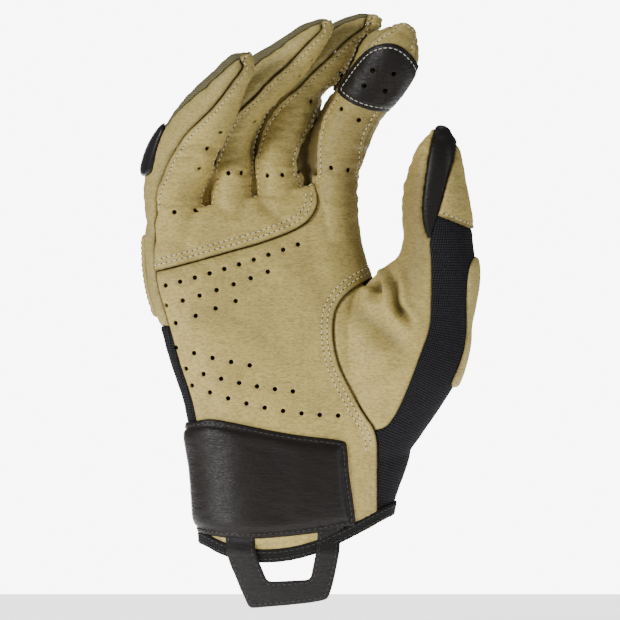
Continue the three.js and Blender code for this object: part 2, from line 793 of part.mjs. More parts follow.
add("upper_palm_panel", handFront.intersect(upperPalm).subtract(bores), TAN, 0.75);
add("lower_palm_panel", handFront.subtract(grown(upperPalm, [X, Z])).subtract(bores), TAN, 0.75);
add("back_panel", handBack, OLIVE, 0.9);
add("back_cuff_panel", handRest.subtract(cuffZone), WOVEN, 0.9);
sideNames.forEach((name, i) => add(name, handSides[i], TAN, 0.75));
add("thumb_panel", thumbSkin.intersect(thumbFrontZone).subtract(grown(stripZone, [X, Y])), TAN, 0.75);
add("thumb_strip", thumbSkin.intersect(stripZone), BLACK, 0.6);
add("thumb_tip_panel", thumbRest.intersect(thumbTipZone), TAN, 0.75);
add("thumb_stretch_panel", thumbRest.subtract(grown(thumbTipZone, [X, Z])), WOVEN, 0.9);
add(
  "thumb_guard",
  sheet(thumbAt, SEAM_GAP, THUMB_GUARD_THICKNESS)
    .intersect(prism(outline(THUMB_GUARD)))
    .subtract(bodySolid(SEAM_GAP)),
  TAN,
  0.75,
);
add(
  "knuckle_guard",
  sheet(bodySolid, SEAM_GAP, KNUCKLE_GUARD_THICKNESS)
    .intersect(prism(outline(KNUCKLE_GUARD), sideLine))
    .subtract(union(tubes(SEAM_GAP))),
  TAN,
  0.75,
);
add(
  "pinky_knuckle_pad",
  sheet(pinkyAt, SEAM_GAP, FINGER_GUARD_THICKNESS).intersect(prism(outline(PINKY_PAD))),
  BLACK,
  0.6,
);
add(
  "touch_tip_pad",
  sheet(indexAt, SEAM_GAP, TIP_PAD_THICKNESS).intersect(
    prism(outline(TIP_PAD), () => -FAR, indexMiddle),
  ),
  BLACK,
  0.6,
);
add("wrist_strap", sheet(bodySolid, SEAM_GAP, STRAP_THICKNESS).intersect(strapZone), BLACK, 0.55);
add(
  "pull_tab",
  sheet(bodySolid, bindingWall + SEAM_GAP, PULL_TAB_THICKNESS)
    .intersect(prism(outline(PULL_TAB), () => -FAR, sideLine))
    .subtract(grown(strapZone, [X, Z])),
  BLACK,
  0.7,
);
add("cuff_binding", bindingBlock.subtract(bindingSlot), BLACK, 0.8);
export default group;
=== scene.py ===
# %% [markdown]
# The object is the right-hand glove of an off-road motorcycle pair, seen from its palm side.
# It is sewn from thin goat leather, black woven stretch fabric and a few padded guards.
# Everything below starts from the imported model, which sets the size and the place of each piece.

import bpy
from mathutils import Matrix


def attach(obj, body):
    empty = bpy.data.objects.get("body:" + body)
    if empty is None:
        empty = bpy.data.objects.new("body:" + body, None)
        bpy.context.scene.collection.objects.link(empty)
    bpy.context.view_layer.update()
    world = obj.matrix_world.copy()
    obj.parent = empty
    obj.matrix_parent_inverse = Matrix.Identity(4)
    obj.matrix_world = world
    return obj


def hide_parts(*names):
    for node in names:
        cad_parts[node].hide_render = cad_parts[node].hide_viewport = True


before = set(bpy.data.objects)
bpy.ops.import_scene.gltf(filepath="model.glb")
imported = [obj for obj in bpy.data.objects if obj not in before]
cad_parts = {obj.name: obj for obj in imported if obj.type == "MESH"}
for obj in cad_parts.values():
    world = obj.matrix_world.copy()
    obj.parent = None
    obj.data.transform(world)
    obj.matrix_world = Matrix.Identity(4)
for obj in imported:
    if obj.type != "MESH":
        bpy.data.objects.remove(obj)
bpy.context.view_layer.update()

# %% [markdown]
# Only Blender's own modules and numpy are used. All lengths below are in millimetres, and are
# turned into metres where a mesh is made.

# %% Blender's tools
import math

import bmesh
import bpy
import numpy as np
from mathutils import Matrix, Vector, noise
from mathutils.kdtree import KDTree

MM = 0.001

# %% [markdown]
# The photograph was taken straight on, from the middle of the glove and from far away, so that
# the fingers that bend forwards hardly grow. A long lens at four metres gives the same view.
# The frame is 620 pixels wide and one pixel is 0.43 mm, which sets the lens.

# %% Camera
PIXEL = 0.43  # millimetres
FRAME = 620  # pixels
ORIGIN = (296, 540)  # the pixel of the middle of the wrist's opening
MIDDLE = Vector(((FRAME / 2 - ORIGIN[0]) * PIXEL, 0, (ORIGIN[1] - FRAME / 2) * PIXEL)) * MM
DISTANCE = 4.0
FILM = 36

lens = bpy.data.cameras.new("camera")
lens.sensor_width = FILM
lens.lens = FILM * DISTANCE / (FRAME * PIXEL * MM)
lens.clip_end = 40
camera = bpy.data.objects.new("camera", lens)
camera.location = MIDDLE + Vector((0, -DISTANCE, 0))
camera.rotation_euler = (math.radians(90), 0, 0)
bpy.context.scene.collection.objects.link(camera)
bpy.context.scene.camera = camera
print("lens", round(lens.lens), "mm")

# %% [markdown]
# The studio has a white floor and backdrop. The main lamp stands low at the left, so the curled
# fingers shade the index finger and the thumb. A weak one in front opens the shadows, one at the
# right draws the edge of the thumb, and one above the finger backs.

# %% Stage and lights
def lamp(name, place, power, size):
    light = bpy.data.lights.new(name, "AREA")
    light.energy = power
    light.size = size
    holder = bpy.data.objects.new(name, light)
    holder.location = place
    holder.rotation_euler = (MIDDLE - Vector(place)).to_track_quat("-Z", "Y").to_euler()
    bpy.context.scene.collection.objects.link(holder)


lamp("key", (-1.25, -1.0, 0.35), 27, 0.45)
lamp("fill", (0.3, -1.9, -0.1), 3, 0.9)
lamp("right", (1.15, -0.75, 0.25), 4.5, 0.3)
lamp("top", (0.1, 0.2, 1.4), 4, 0.9)

world = bpy.data.worlds.new("surround")
world.use_nodes = True
world.node_tree.nodes["Background"].inputs["Color"].default_value = (1, 1, 1, 1)
world.node_tree.nodes["Background"].inputs["Strength"].default_value = 0.25
bpy.context.scene.world = world


def sheet_of_paper(name, size, place, tilt, glow):
    bm = bmesh.new()
    bmesh.ops.create_grid(bm, x_segments=1, y_segments=1, size=size)
    bmesh.ops.rotate(bm, verts=bm.verts, matrix=Matrix.Rotation(tilt, 3, "X"))
    bmesh.ops.translate(bm, verts=bm.verts, vec=place)
    mesh = bpy.data.meshes.new(name)
    bm.to_mesh(mesh)
    bm.free()
    paper = bpy.data.objects.new(name, mesh)
    bpy.context.scene.collection.objects.link(paper)
    look = bpy.data.materials.new(name)
    look.use_nodes = True
    main = look.node_tree.nodes["Principled BSDF"]
    main.inputs["Base Color"].default_value = (0.9, 0.9, 0.9, 1)
    main.inputs["Roughness"].default_value = 1.0
    main.inputs["Specular IOR Level"].default_value = 0.0
    main.inputs["Emission Color"].default_value = (1, 1, 1, 1)
    main.inputs["Emission Strength"].default_value = glow
    mesh.materials.append(look)


sheet_of_paper("floor", 0.3, (0.006, 0.15, -0.037), 0, 2.0)
sheet_of_paper("backdrop", 1.6, (0, 4.8, 0.2), math.pi / 2, 8)

# %% [markdown]
# A glove on a hand is a wide tube for the palm with five narrower tubes for the fingers.
# Each tube is described by a few sections. The tables give them as shares of the named sizes,
# and a smooth curve through the rows gives every section between.

# %% Sizes and sections
PALM_WIDTH = 86.0
BODY_HEIGHT = 150.5
PALM_DEPTH = 40.0
FINGER_WIDTH = 20.0
WALL = 1.3

BODY_COLUMNS = ("rise", "left", "right", "front", "back", "tilt")
BODY = [
    (-0.24, -0.455, 0.44, 0.51, 0.5, 0),
    (-0.06, -0.47, 0.455, 0.53, 0.51, 0),
    (0.1, -0.485, 0.487, 0.52, 0.5, 0),
    (0.25, -0.515, 0.572, 0.5, 0.48, 0),
    (0.39, -0.56, 0.57, 0.5, 0.47, 0),
    (0.52, -0.63, 0.53, 0.49, 0.46, 0.02),
    (0.64, -0.685, 0.46, 0.46, 0.45, 0.04),
    (0.75, -0.735, 0.362, 0.42, 0.43, 0.06),
    (0.85, -0.75, 0.318, 0.38, 0.4, 0.1),
    (0.93, -0.75, 0.3, 0.335, 0.35, 0.16),
    (0.975, -0.735, 0.285, 0.28, 0.3, 0.2),
]
SQUARENESS = 2.5

FINGER_COLUMNS = ("across", "rise", "forward", "wide", "deep", "roll")
FINGERS = {
    "pinky": {
        "length": 64.5,
        "root": (-0.58, 0.9),
        "rows": [
            (0.0, -0.15, 0.0, 1.2, 1.3, 15),
            (-0.03, 0.2, 0.015, 1.34, 1.25, 22),
            (0.0, 0.4, 0.12, 1.36, 1.15, 38),
            (0.09, 0.59, 0.27, 1.25, 1.05, 46),
            (0.2, 0.75, 0.42, 1.16, 0.95, 56),
            (0.32, 0.93, 0.59, 0.82, 0.82, 72),
            (0.41, 1.05, 0.69, 0.6, 0.6, 80),
            (0.445, 1.09, 0.72, 0.32, 0.32, 82),
        ],
    },
    "ring": {
        "length": 77.4,
        "root": (-0.32, 0.929),
        "rows": [
            (0.0, -0.15, 0.0, 0.95, 1.3, 5),
            (0.0, 0.16, 0.0, 0.96, 1.25, 8),
            (-0.01, 0.32, -0.015, 0.96, 1.1, 25),
            (0.01, 0.47, 0.013, 0.96, 1.0, 42),
            (0.075, 0.61, 0.09, 0.92, 0.95, 55),
            (0.165, 0.74, 0.18, 1.07, 0.95, 76),
            (0.3, 0.845, 0.26, 0.95, 0.9, 72),
            (0.42, 0.955, 0.335, 0.72, 0.75, 70),
            (0.5, 1.025, 0.385, 0.45, 0.48, 70),
            (0.525, 1.045, 0.4, 0.25, 0.28, 70),
        ],
    },
    "middle": {
        "length": 81.7,
        "root": (-0.08, 0.943),
        "rows": [
            (0.0, -0.15, 0.0, 1.0, 1.3, -5),
            (-0.01, 0.16, 0.0, 1.0, 1.25, -8),
            (-0.01, 0.28, -0.01, 0.98, 1.15, -6),
            (0.015, 0.42, -0.015, 1.0, 1.05, 11),
            (0.07, 0.55, -0.005, 0.98, 1.0, 30),
            (0.13, 0.67, 0.012, 0.92, 0.95, 58),
            (0.245, 0.785, 0.06, 0.98, 0.95, 60),
            (0.34, 0.885, 0.11, 0.93, 0.9, 64),
            (0.435, 0.955, 0.15, 0.66, 0.68, 66),
            (0.495, 0.985, 0.17, 0.36, 0.38, 66),
        ],
    },
    "index": {
        "length": 73.1,
        "root": (0.195, 0.957),
        "rows": [
            (0.0, -0.2, 0.0, 0.95, 1.3, 5),
            (0.0, 0.15, 0.01, 0.97, 1.2, 12),
            (0.02, 0.3, 0.04, 1.08, 1.12, 8),
            (0.07, 0.455, 0.095, 1.13, 1.08, -6),
            (0.155, 0.61, 0.165, 1.12, 1.04, -5),
            (0.26, 0.755, 0.246, 1.18, 0.98, 0),
            (0.33, 0.875, 0.315, 1.18, 0.9, 2),
            (0.385, 0.96, 0.355, 0.88, 0.68, 2),
            (0.415, 1.005, 0.37, 0.48, 0.36, 2),
        ],
    },
    "thumb": {
        "length": 111.8,
        "root": (0.36, 0.314),
        "rows": [
            (-0.03, -0.12, 0.02, 1.5, 1.4, -80),
            (0.06, 0.095, 0.04, 2.1, 1.65, -80),
            (0.12, 0.27, 0.08, 2.6, 1.65, -80),
            (0.175, 0.44, 0.11, 2.5, 1.5, -80),
            (0.252, 0.6, 0.14, 1.8, 1.36, -80),
            (0.268, 0.73, 0.17, 1.48, 1.34, -75),
            (0.262, 0.82, 0.19, 1.47, 1.28, -75),
            (0.256, 0.92, 0.21, 1.36, 1.2, -75),
            (0.265, 1.03, 0.23, 1.05, 1.02, -75),
            (0.273, 1.1, 0.24, 0.74, 0.74, -75),
            (0.275, 1.135, 0.245, 0.42, 0.4, -75),
        ],
    },
}


def through(rows, columns, name, share):
    """A smooth value of one column at a share of the way through the rows."""
    values = np.array([row[columns.index(name)] for row in rows], float)
    at = np.clip(np.asarray(share, float), 0, 1) * (len(rows) - 1)
    i = np.minimum(at.astype(int), len(rows) - 2)
    t = at - i
    a, b, c, d = (values[np.clip(i + step, 0, len(rows) - 1)] for step in (-1, 0, 1, 2))
    return b + 0.5 * t * (c - a + t * (2 * a - 5 * b + 4 * c - d + t * (3 * (b - c) + d - a)))


def body_stations(share):
    get = lambda name: through(BODY, BODY_COLUMNS, name, share)
    return {
        "x": (get("left") + get("right")) / 2 * PALM_WIDTH,
        "z": get("rise") * BODY_HEIGHT,
        "half": (get("right") - get("left")) / 2 * PALM_WIDTH,
        "front": get("front") * PALM_DEPTH,
        "back": get("back") * PALM_DEPTH,
        "tilt": get("tilt"),
    }


def finger_stations(name, share):
    finger = FINGERS[name]
    share = np.atleast_1d(np.asarray(share, float))
    get = lambda column, s: through(finger["rows"], FINGER_COLUMNS, column, s)

    def spot(s):
        s = np.clip(s, 0, 1)
        return np.stack(
            [
                finger["root"][0] * PALM_WIDTH + get("across", s) * finger["length"],
                -get("forward", s) * finger["length"],
                finger["root"][1] * BODY_HEIGHT + get("rise", s) * finger["length"],
            ],
            axis=1,
        )

    along = spot(share + 0.02) - spot(share - 0.02)
    along /= np.linalg.norm(along, axis=1)[:, None]
    side = np.stack([along[:, 2], np.zeros(len(share)), -along[:, 0]], axis=1)
    side /= np.linalg.norm(side, axis=1)[:, None]
    return {
        "centre": spot(share),
        "along": along,
        "side": side,
        "ahead": np.cross(side, along),
        "wide": get("wide", share) * FINGER_WIDTH / 2,
        "deep": get("deep", share) * FINGER_WIDTH / 2,
        "roll": get("roll", share),
    }


print("fingers", {name: finger["length"] for name, finger in FINGERS.items()})

# %% [markdown]
# The seams and edges were read off the photograph as lines in the palm's plane: the first number
# is a share of the palm's width to the side, the second a share of the body's height upwards.
# Cutting off the corners a few times makes a soft line of each, as a sewn edge is.

# %% Seam lines and edges
RIM = [
    (-0.6, 0.0), (-0.47, -0.006), (-0.36, -0.045), (-0.17, -0.066),
    (0.06, -0.048), (0.28, 0.01), (0.49, 0.078), (0.7, 0.12),
]
UPPER_PALM_SEAM = [
    (-1.7, 0.72), (-0.85, 0.755), (-0.678, 0.77), (-0.57, 0.786), (-0.449, 0.805),
    (-0.295, 0.83), (-0.168, 0.85), (-0.015, 0.883), (0.06, 0.91), (0.1, 0.945),
    (0.11, 0.985), (0.08, 1.03), (0.065, 1.09), (0.08, 1.16),
    (0.12, 1.234), (0.16, 1.286), (0.27, 1.343), (0.35, 1.4), (0.41, 1.44), (0.46, 1.48),
]
THUMB_PARTING = [
    (1.7, 1.214), (0.92, 1.214), (0.595, 1.2), (0.445, 1.114), (0.42, 0.886), (0.43, 0.79),
]
THUMB_SEAM = [
    (0.38, 0.752), (0.275, 0.717), (0.22, 0.686), (0.188, 0.651), (0.18, 0.6), (0.19, 0.543),
    (0.215, 0.491), (0.27, 0.429), (0.34, 0.357), (0.405, 0.309), (0.4, 0.2), (0.4, -0.2),
    (1.7, -0.2),
]
THUMB_BACK_SEAM = [(0.42, 0.6), (0.41, 0.3), (0.4, -0.2), (1.7, -0.2)]
STRETCH_EDGE = [
    (0.66, 0.85), (0.674, 0.79), (0.674, 0.674), (0.67, 0.606), (0.628, 0.541), (0.577, 0.46),
    (0.505, 0.36), (0.42, 0.3), (-0.2, 0.3), (-0.2, 1.19), (0.72, 1.19),
]
THUMB_STRIP = [
    (0.7, 1.19), (0.672, 1.15), (0.636, 1.015), (0.62, 0.92), (0.66, 0.85), (0.71, 0.935),
    (0.752, 1.03), (0.795, 1.1), (0.81, 1.19),
]
THUMB_HEM = [(0.3, 0.94), (0.7, 0.935), (0.905, 0.874), (1.5, 0.85), (1.5, 1.4), (0.3, 1.4)]
THUMB_GUARD = [
    (0.853, 0.79), (0.843, 0.674), (0.848, 0.588), (0.82, 0.514), (0.76, 0.437),
    (1.1, 0.437), (1.1, 0.823), (0.91, 0.823),
]
TIP_PAD = [
    (0.2, 1.28), (0.335, 1.39), (0.42, 1.412), (0.49, 1.414), (0.56, 1.39), (0.62, 1.34),
    (0.62, 1.24), (0.51, 1.22), (0.35, 1.226), (0.26, 1.25),
]
STRAP_FRONT = [
    (-0.75, 0.325), (-0.5, 0.34), (-0.43, 0.35), (-0.315, 0.338), (-0.04, 0.304), (0.23, 0.288),
    (0.255, 0.278), (0.26, 0.2), (0.298, 0.056), (0.29, 0.04), (0.24, 0.04), (0.1, 0.022),
    (-0.175, 0.006), (-0.36, 0.008), (-0.5, 0.026), (-0.75, 0.03),
]
STRAP_BACK = [
    (-0.75, 0.325), (-0.4, 0.33), (0.1, 0.33), (0.12, 0.31), (0.12, 0.06), (0.1, 0.04),
    (-0.4, 0.03), (-0.75, 0.03),
]
PULL_TAB = [
    (-0.355, 0.04), (-0.342, -0.03), (-0.226, -0.19), (0.13, -0.172), (0.17, -0.153),
    (0.225, 0.01), (0.225, 0.06), (0.105, 0.06), (0.11, 0.006), (0.07, -0.108),
    (-0.137, -0.114), (-0.205, -0.023), (-0.2, 0.04),
]
KNUCKLE_GUARD = [
    (-0.9, 0.866), (-0.9, 0.654), (-0.6, 0.63), (-0.1, 0.64), (0.2, 0.67), (0.24, 0.75),
    (0.2, 0.83), (-0.1, 0.87), (-0.5, 0.885),
]
PINKY_PAD = [
    (-0.9, 1.03), (-0.715, 1.04), (-0.69, 1.11), (-0.64, 1.19), (-0.65, 1.225), (-0.9, 1.225),
]
CROTCH = [(-0.5, 0.88), (0.13, 0.95), (0.13, 1.07), (-0.5, 1.0)]
BACK_CUFF_TOP = 0.61

# Angles on a section, in degrees from its thumb side through the front
FRONT_FROM, FRONT_TO = -30, 156
BACK_FROM, BACK_TO = 190, 330
PALMAR_HALF = DORSAL_HALF = 60


def soft_line(rows, rounds=2):
    """A line in millimetres in the palm's plane, with its corners cut off a few times."""
    points = np.array(rows) * (PALM_WIDTH, BODY_HEIGHT)
    for _ in range(rounds):
        after = points[1:]
        before = points[:-1]
        cut_off = np.stack([0.75 * before + 0.25 * after, 0.25 * before + 0.75 * after], 1)
        points = np.vstack([points[:1], cut_off.reshape(-1, 2), points[-1:]])
    return points


def rounded(rows, radius=3.0):
    """An outline in millimetres. Slight bends become soft, and sharp corners get a radius."""
    points = np.array(rows) * (PALM_WIDTH, BODY_HEIGHT)
    made = []
    for i, corner in enumerate(points):
        arms = [points[i - 1] - corner, points[(i + 1) % len(points)] - corner]
        sizes = [np.linalg.norm(arm) for arm in arms]
        sharp = arms[0] @ arms[1] / (sizes[0] * sizes[1]) > -0.6
        start, end = (
            corner + arm * (min(0.5, radius / size) if sharp else 0.5)
            for arm, size in zip(arms, sizes)
        )
        for t in np.linspace(0, 1, 6):
            made.append((1 - t) ** 2 * start + 2 * t * (1 - t) * corner + t * t * end)
    return np.array(made)


def line_distance(spots, line, closed=False):
    """The distance of each spot from a line, and how far along the line its nearest point is."""
    ends = np.roll(line, -1, axis=0) if closed else line[1:]
    best = np.full(len(spots), 1e9)
    along = np.zeros(len(spots))
    walked = 0.0
    for a, b in zip(line, ends):
        run = b - a
        size = np.hypot(*run)
        if size < 1e-9:
            continue
        t = np.clip((spots - a) @ run / size**2, 0, 1)
        d = np.hypot(*(spots - a - t[:, None] * run).T)
        near = d < best
        best[near] = d[near]
        along[near] = walked + t[near] * size
        walked += size
    return best, along


def inside(spots, outline):
    """The distance of each spot from a closed outline, positive inside it."""
    x, z = spots.T
    odd = np.zeros(len(spots), bool)
    for a, b in zip(outline, np.roll(outline, -1, axis=0)):
        if a[1] != b[1]:
            crosses = (a[1] > z) != (b[1] > z)
            odd ^= crosses & (x < (b[0] - a[0]) * (z - a[1]) / (b[1] - a[1]) + a[0])
    return line_distance(spots, outline, closed=True)[0] * np.where(odd, 1, -1)


# Ventilation holes: rows on the palm, bowed downwards, and single holes on the fingers
HOLE = 1.0  # radius in millimetres
PALM_HOLES = [
    ((-0.65, 0.727), (0.01, 0.844), 10, 0.005),
    ((-0.65, 0.67), (-0.14, 0.766), 7, 0.004),
    ((-0.6, 0.62), (-0.3, 0.683), 4, 0),
    ((-0.6, 0.55), (-0.23, 0.5), 5, 0.004),
    ((-0.55, 0.49), (-0.015, 0.426), 7, 0.008),
    ((-0.52, 0.442), (0.21, 0.357), 9, 0.02),
]
FINGER_HOLES = [
    ("pinky", 0.1, -20), ("pinky", 0.1, 22), ("pinky", 0.36, 0), ("pinky", 0.46, 2),
    ("pinky", 0.56, 4), ("ring", 0.14, -18), ("ring", 0.14, 18), ("ring", 0.43, 0),
    ("ring", 0.68, 0), ("ring", 0.75, 0), ("middle", 0.12, -20), ("middle", 0.12, 20),
    ("middle", 0.5, 0), ("middle", 0.6, 0), ("middle", 0.68, 0), ("middle", 0.76, 0),
    ("index", 0.2, -22), ("index", 0.2, 22), ("index", 0.46, -24), ("index", 0.46, 24),
]
TIP_PAD_HOLES = [(33.3, 201.4), (41.7, 200.2), (38.1, 193.1), (29.7, 194.8)]

print("seam of the upper palm has", len(soft_line(UPPER_PALM_SEAM)), "points")

# %% [markdown]
# The worn leather has broad hollows: the cup of the palm and the folds around the thumb's root.
# Each is a soft dent, pressed into the front of the sections before they are joined.

# %% Tubes for the hand and the fingers
DENTS = [  # across, rise, wide, tall, lean, deep
    (-0.1, 0.62, 0.6, 0.75, 0, 0.07),
    (0.4, 0.7, 0.14, 0.24, -15, 0.1),
    (0.5, 0.64, 0.14, 0.34, -40, 0.09),
    (0.36, 0.6, 0.16, 0.36, 50, 0.05),
    (-0.43, 1.0, 0.3, 0.12, 12, 0.05),
]


def dented(points, facing):
    points = points.copy()
    for across, rise, wide, tall, lean, deep in DENTS:
        dx = points[:, 0] - across * PALM_WIDTH
        dz = points[:, 2] - rise * BODY_HEIGHT
        c, s = math.cos(math.radians(lean)), math.sin(math.radians(lean))
        u = (c * dx + s * dz) / (wide * PALM_DEPTH)
        v = (c * dz - s * dx) / (tall * PALM_DEPTH)
        dent = deep * PALM_DEPTH * np.exp(-(u * u + v * v))
        points[:, 1] += np.sqrt(np.maximum(0, facing)) * dent
    return points


def body_point(share, degrees):
    station = body_stations(share)
    power = lambda value: np.sign(value) * np.abs(value) ** (2 / SQUARENESS)
    c, s = power(np.cos(np.radians(degrees))), power(np.sin(np.radians(degrees)))
    depth = np.where(s > 0, station["front"], station["back"])
    x = station["half"] * c
    points = np.stack([station["x"] + x, -depth * s, station["z"] + station["tilt"] * x], axis=1)
    return dented(points, np.sin(np.radians(degrees)))


def finger_point(name, share, degrees, scale=1.0, ahead=0.0):
    station = finger_stations(name, share)
    angle = np.radians(90 - station["roll"] + degrees)
    points = (
        station["centre"]
        + station["along"] * np.reshape(ahead, (-1, 1))
        + station["side"] * (station["wide"] * scale * np.cos(angle))[:, None]
        + station["ahead"] * (station["deep"] * scale * np.sin(angle))[:, None]
    )
    return dented(points, np.sin(angle))


BULGES = {  # turn from the palmar line, share along the finger, and how far in millimetres
    "pinky": (-120, -0.12, 0.45, 2.0),
    "ring": (130, -0.12, 0.4, 2.2),
    "middle": (-112, -0.12, 0.88, 5.2),
    "index": (138, -0.12, 0.88, 5.6),
}


def bulged(name, points, share, turn):
    """The soft sides of two fingers fill the slot between them from behind."""
    if name not in BULGES:
        return points
    at, start, end, far = BULGES[name]
    off = (turn - at + 180) % 360 - 180
    along = np.clip((share - start) / 0.1, 0, 1) * np.clip((end - share) / 0.12, 0, 1)
    points = points.copy()
    points[:, 0] -= np.sign(at) * far * along * np.exp(-((off / 34) ** 2))
    return points


def tube(name, sides, rings):
    """A grid rolled up to a tube, with a round tip on a finger, and closed at both ends."""
    bm = bmesh.new()
    bmesh.ops.create_grid(bm, x_segments=sides, y_segments=rings, size=0.5)
    grid = np.array([vertex.co for vertex in bm.verts])
    turn, rise = (grid[:, 0] + 0.5) * 360, grid[:, 1] + 0.5
    if name == "body":
        points = body_point(rise, turn)
    else:
        dome = np.clip((rise - 0.9) / 0.1, 0, 1)
        reach = min(FINGERS[name]["rows"][-1][3:5]) * FINGER_WIDTH / 2
        points = finger_point(
            name,
            np.minimum(1, rise / 0.9),
            turn,
            np.sqrt(np.maximum(0.02, 1 - dome**2)),
            0.8 * reach * dome,
        )
        points = bulged(name, points, rise / 0.9, turn)
    for vertex, point in zip(bm.verts, points):
        vertex.co = Vector(point) * MM
    bmesh.ops.remove_doubles(bm, verts=bm.verts, dist=1e-6)
    bmesh.ops.holes_fill(bm, edges=[edge for edge in bm.edges if edge.is_boundary], sides=0)
    bmesh.ops.recalc_face_normals(bm, faces=bm.faces)
    mesh = bpy.data.meshes.new(name)
    bm.to_mesh(mesh)
    bm.free()
    return mesh


tubes = bmesh.new()
for name in ("body", *FINGERS):
    mesh = tube(name, 64, 90)
    tubes.from_mesh(mesh)
    bpy.data.meshes.remove(mesh)
print("tubes", len(tubes.verts), "vertices")

# %% [markdown]
# The tubes run into each other like the fingers of a hand. A voxel remesh melts them together
# into one skin with even squares, and a few rounds of smoothing round off the crotches.
# The smoothing goes back and forth, so the fingertips don't shrink.

# %% One skin
VOXEL = 0.9


def evaluated(holder):
    graph = bpy.context.evaluated_depsgraph_get()
    return bpy.data.meshes.new_from_object(holder.evaluated_get(graph))


skin_mesh = bpy.data.meshes.new("skin")
tubes.to_mesh(skin_mesh)
tubes.free()
holder = bpy.data.objects.new("skin", skin_mesh)
bpy.context.scene.collection.objects.link(holder)
melt = holder.modifiers.new("melt", "REMESH")
melt.mode = "VOXEL"
melt.voxel_size = VOXEL * MM
skin_mesh = evaluated(holder)
bpy.data.objects.remove(holder)


def smoothed(points, pairs, rounds, back=0.53):
    count = np.bincount(pairs.ravel(), minlength=len(points))[:, None]
    for step in range(2 * rounds):
        total = np.zeros_like(points)
        np.add.at(total, pairs[:, 0], points[pairs[:, 1]])
        np.add.at(total, pairs[:, 1], points[pairs[:, 0]])
        move = total / np.maximum(count, 1) - points
        points = points + move * (0.5 if step % 2 == 0 else -back)
    return points


def read(mesh):
    values = np.empty(len(mesh.vertices) * 3)
    mesh.vertices.foreach_get("co", values)
    return values.reshape(-1, 3)


def edge_pairs(mesh):
    pairs = np.empty(len(mesh.edges) * 2, int)
    mesh.edges.foreach_get("vertices", pairs)
    return pairs.reshape(-1, 2)


points = smoothed(read(skin_mesh), edge_pairs(skin_mesh), 12)
skin_mesh.vertices.foreach_set("co", points.ravel())
skin_mesh.update()
print("skin", len(skin_mesh.vertices), "vertices", len(skin_mesh.polygons), "faces")

# %% [markdown]
# To know where a spot of the skin is on the glove, it is measured against each tube: how far
# along it lies, at what turn from the palmar line, and how far out. The tube with the least
# reach owns it, and neighbours share a little, so that a seam runs on smoothly between them.

# %% Where each spot lies
STATIONS = 140


def measure_finger(spots, name):
    shares = np.linspace(0, 1, STATIONS)
    station = finger_stations(name, shares)
    nearest = np.zeros(len(spots), int)
    best = np.full(len(spots), 1e9)
    for i, centre in enumerate(station["centre"]):
        d = ((spots - centre) ** 2).sum(axis=1)
        near = d < best
        best[near] = d[near]
        nearest[near] = i
    apart = spots - station["centre"][nearest]
    u = (apart * station["side"][nearest]).sum(axis=1) / station["wide"][nearest]
    v = (apart * station["ahead"][nearest]).sum(axis=1) / station["deep"][nearest]
    w = (apart * station["along"][nearest]).sum(axis=1) / station["deep"][nearest]
    turn = np.degrees(np.arctan2(v, u)) - 90 + station["roll"][nearest]
    return {
        "share": shares[nearest],
        "reach": np.sqrt(u * u + v * v + w * w),
        "turn": (turn + 180) % 360 - 180,
        "radius": (station["wide"] + station["deep"])[nearest] / 2,
    }


def measure_body(spots):
    x, y, z = spots.T
    shares = np.linspace(0, 1, 200)
    heights = body_stations(shares)["z"]
    level = z.copy()
    for _ in range(3):
        station = body_stations(np.interp(level, heights, shares))
        level = z - station["tilt"] * (x - station["x"])
    c = (x - station["x"]) / station["half"]
    s = -y / np.where(y < 0, station["front"], station["back"])
    power = lambda value: np.sign(value) * np.abs(value) ** (SQUARENESS / 2)
    return {
        "reach": (np.abs(c) ** SQUARENESS + np.abs(s) ** SQUARENESS) ** (1 / SQUARENESS)
        + np.maximum(0, level - heights[-1]) / 12,
        "turn": np.degrees(np.arctan2(power(s), power(c))),
        "radius": station["half"],
    }


def shared(values, reaches):
    """A value of several tubes, blended where two of them reach a spot alike."""
    reaches = np.array(reaches)
    weight = np.exp(-(reaches - reaches.min(axis=0)) / 0.06)
    return (np.array(values) * weight).sum(axis=0) / weight.sum(axis=0)


SIDE_LINE = 0.03 * PALM_DEPTH


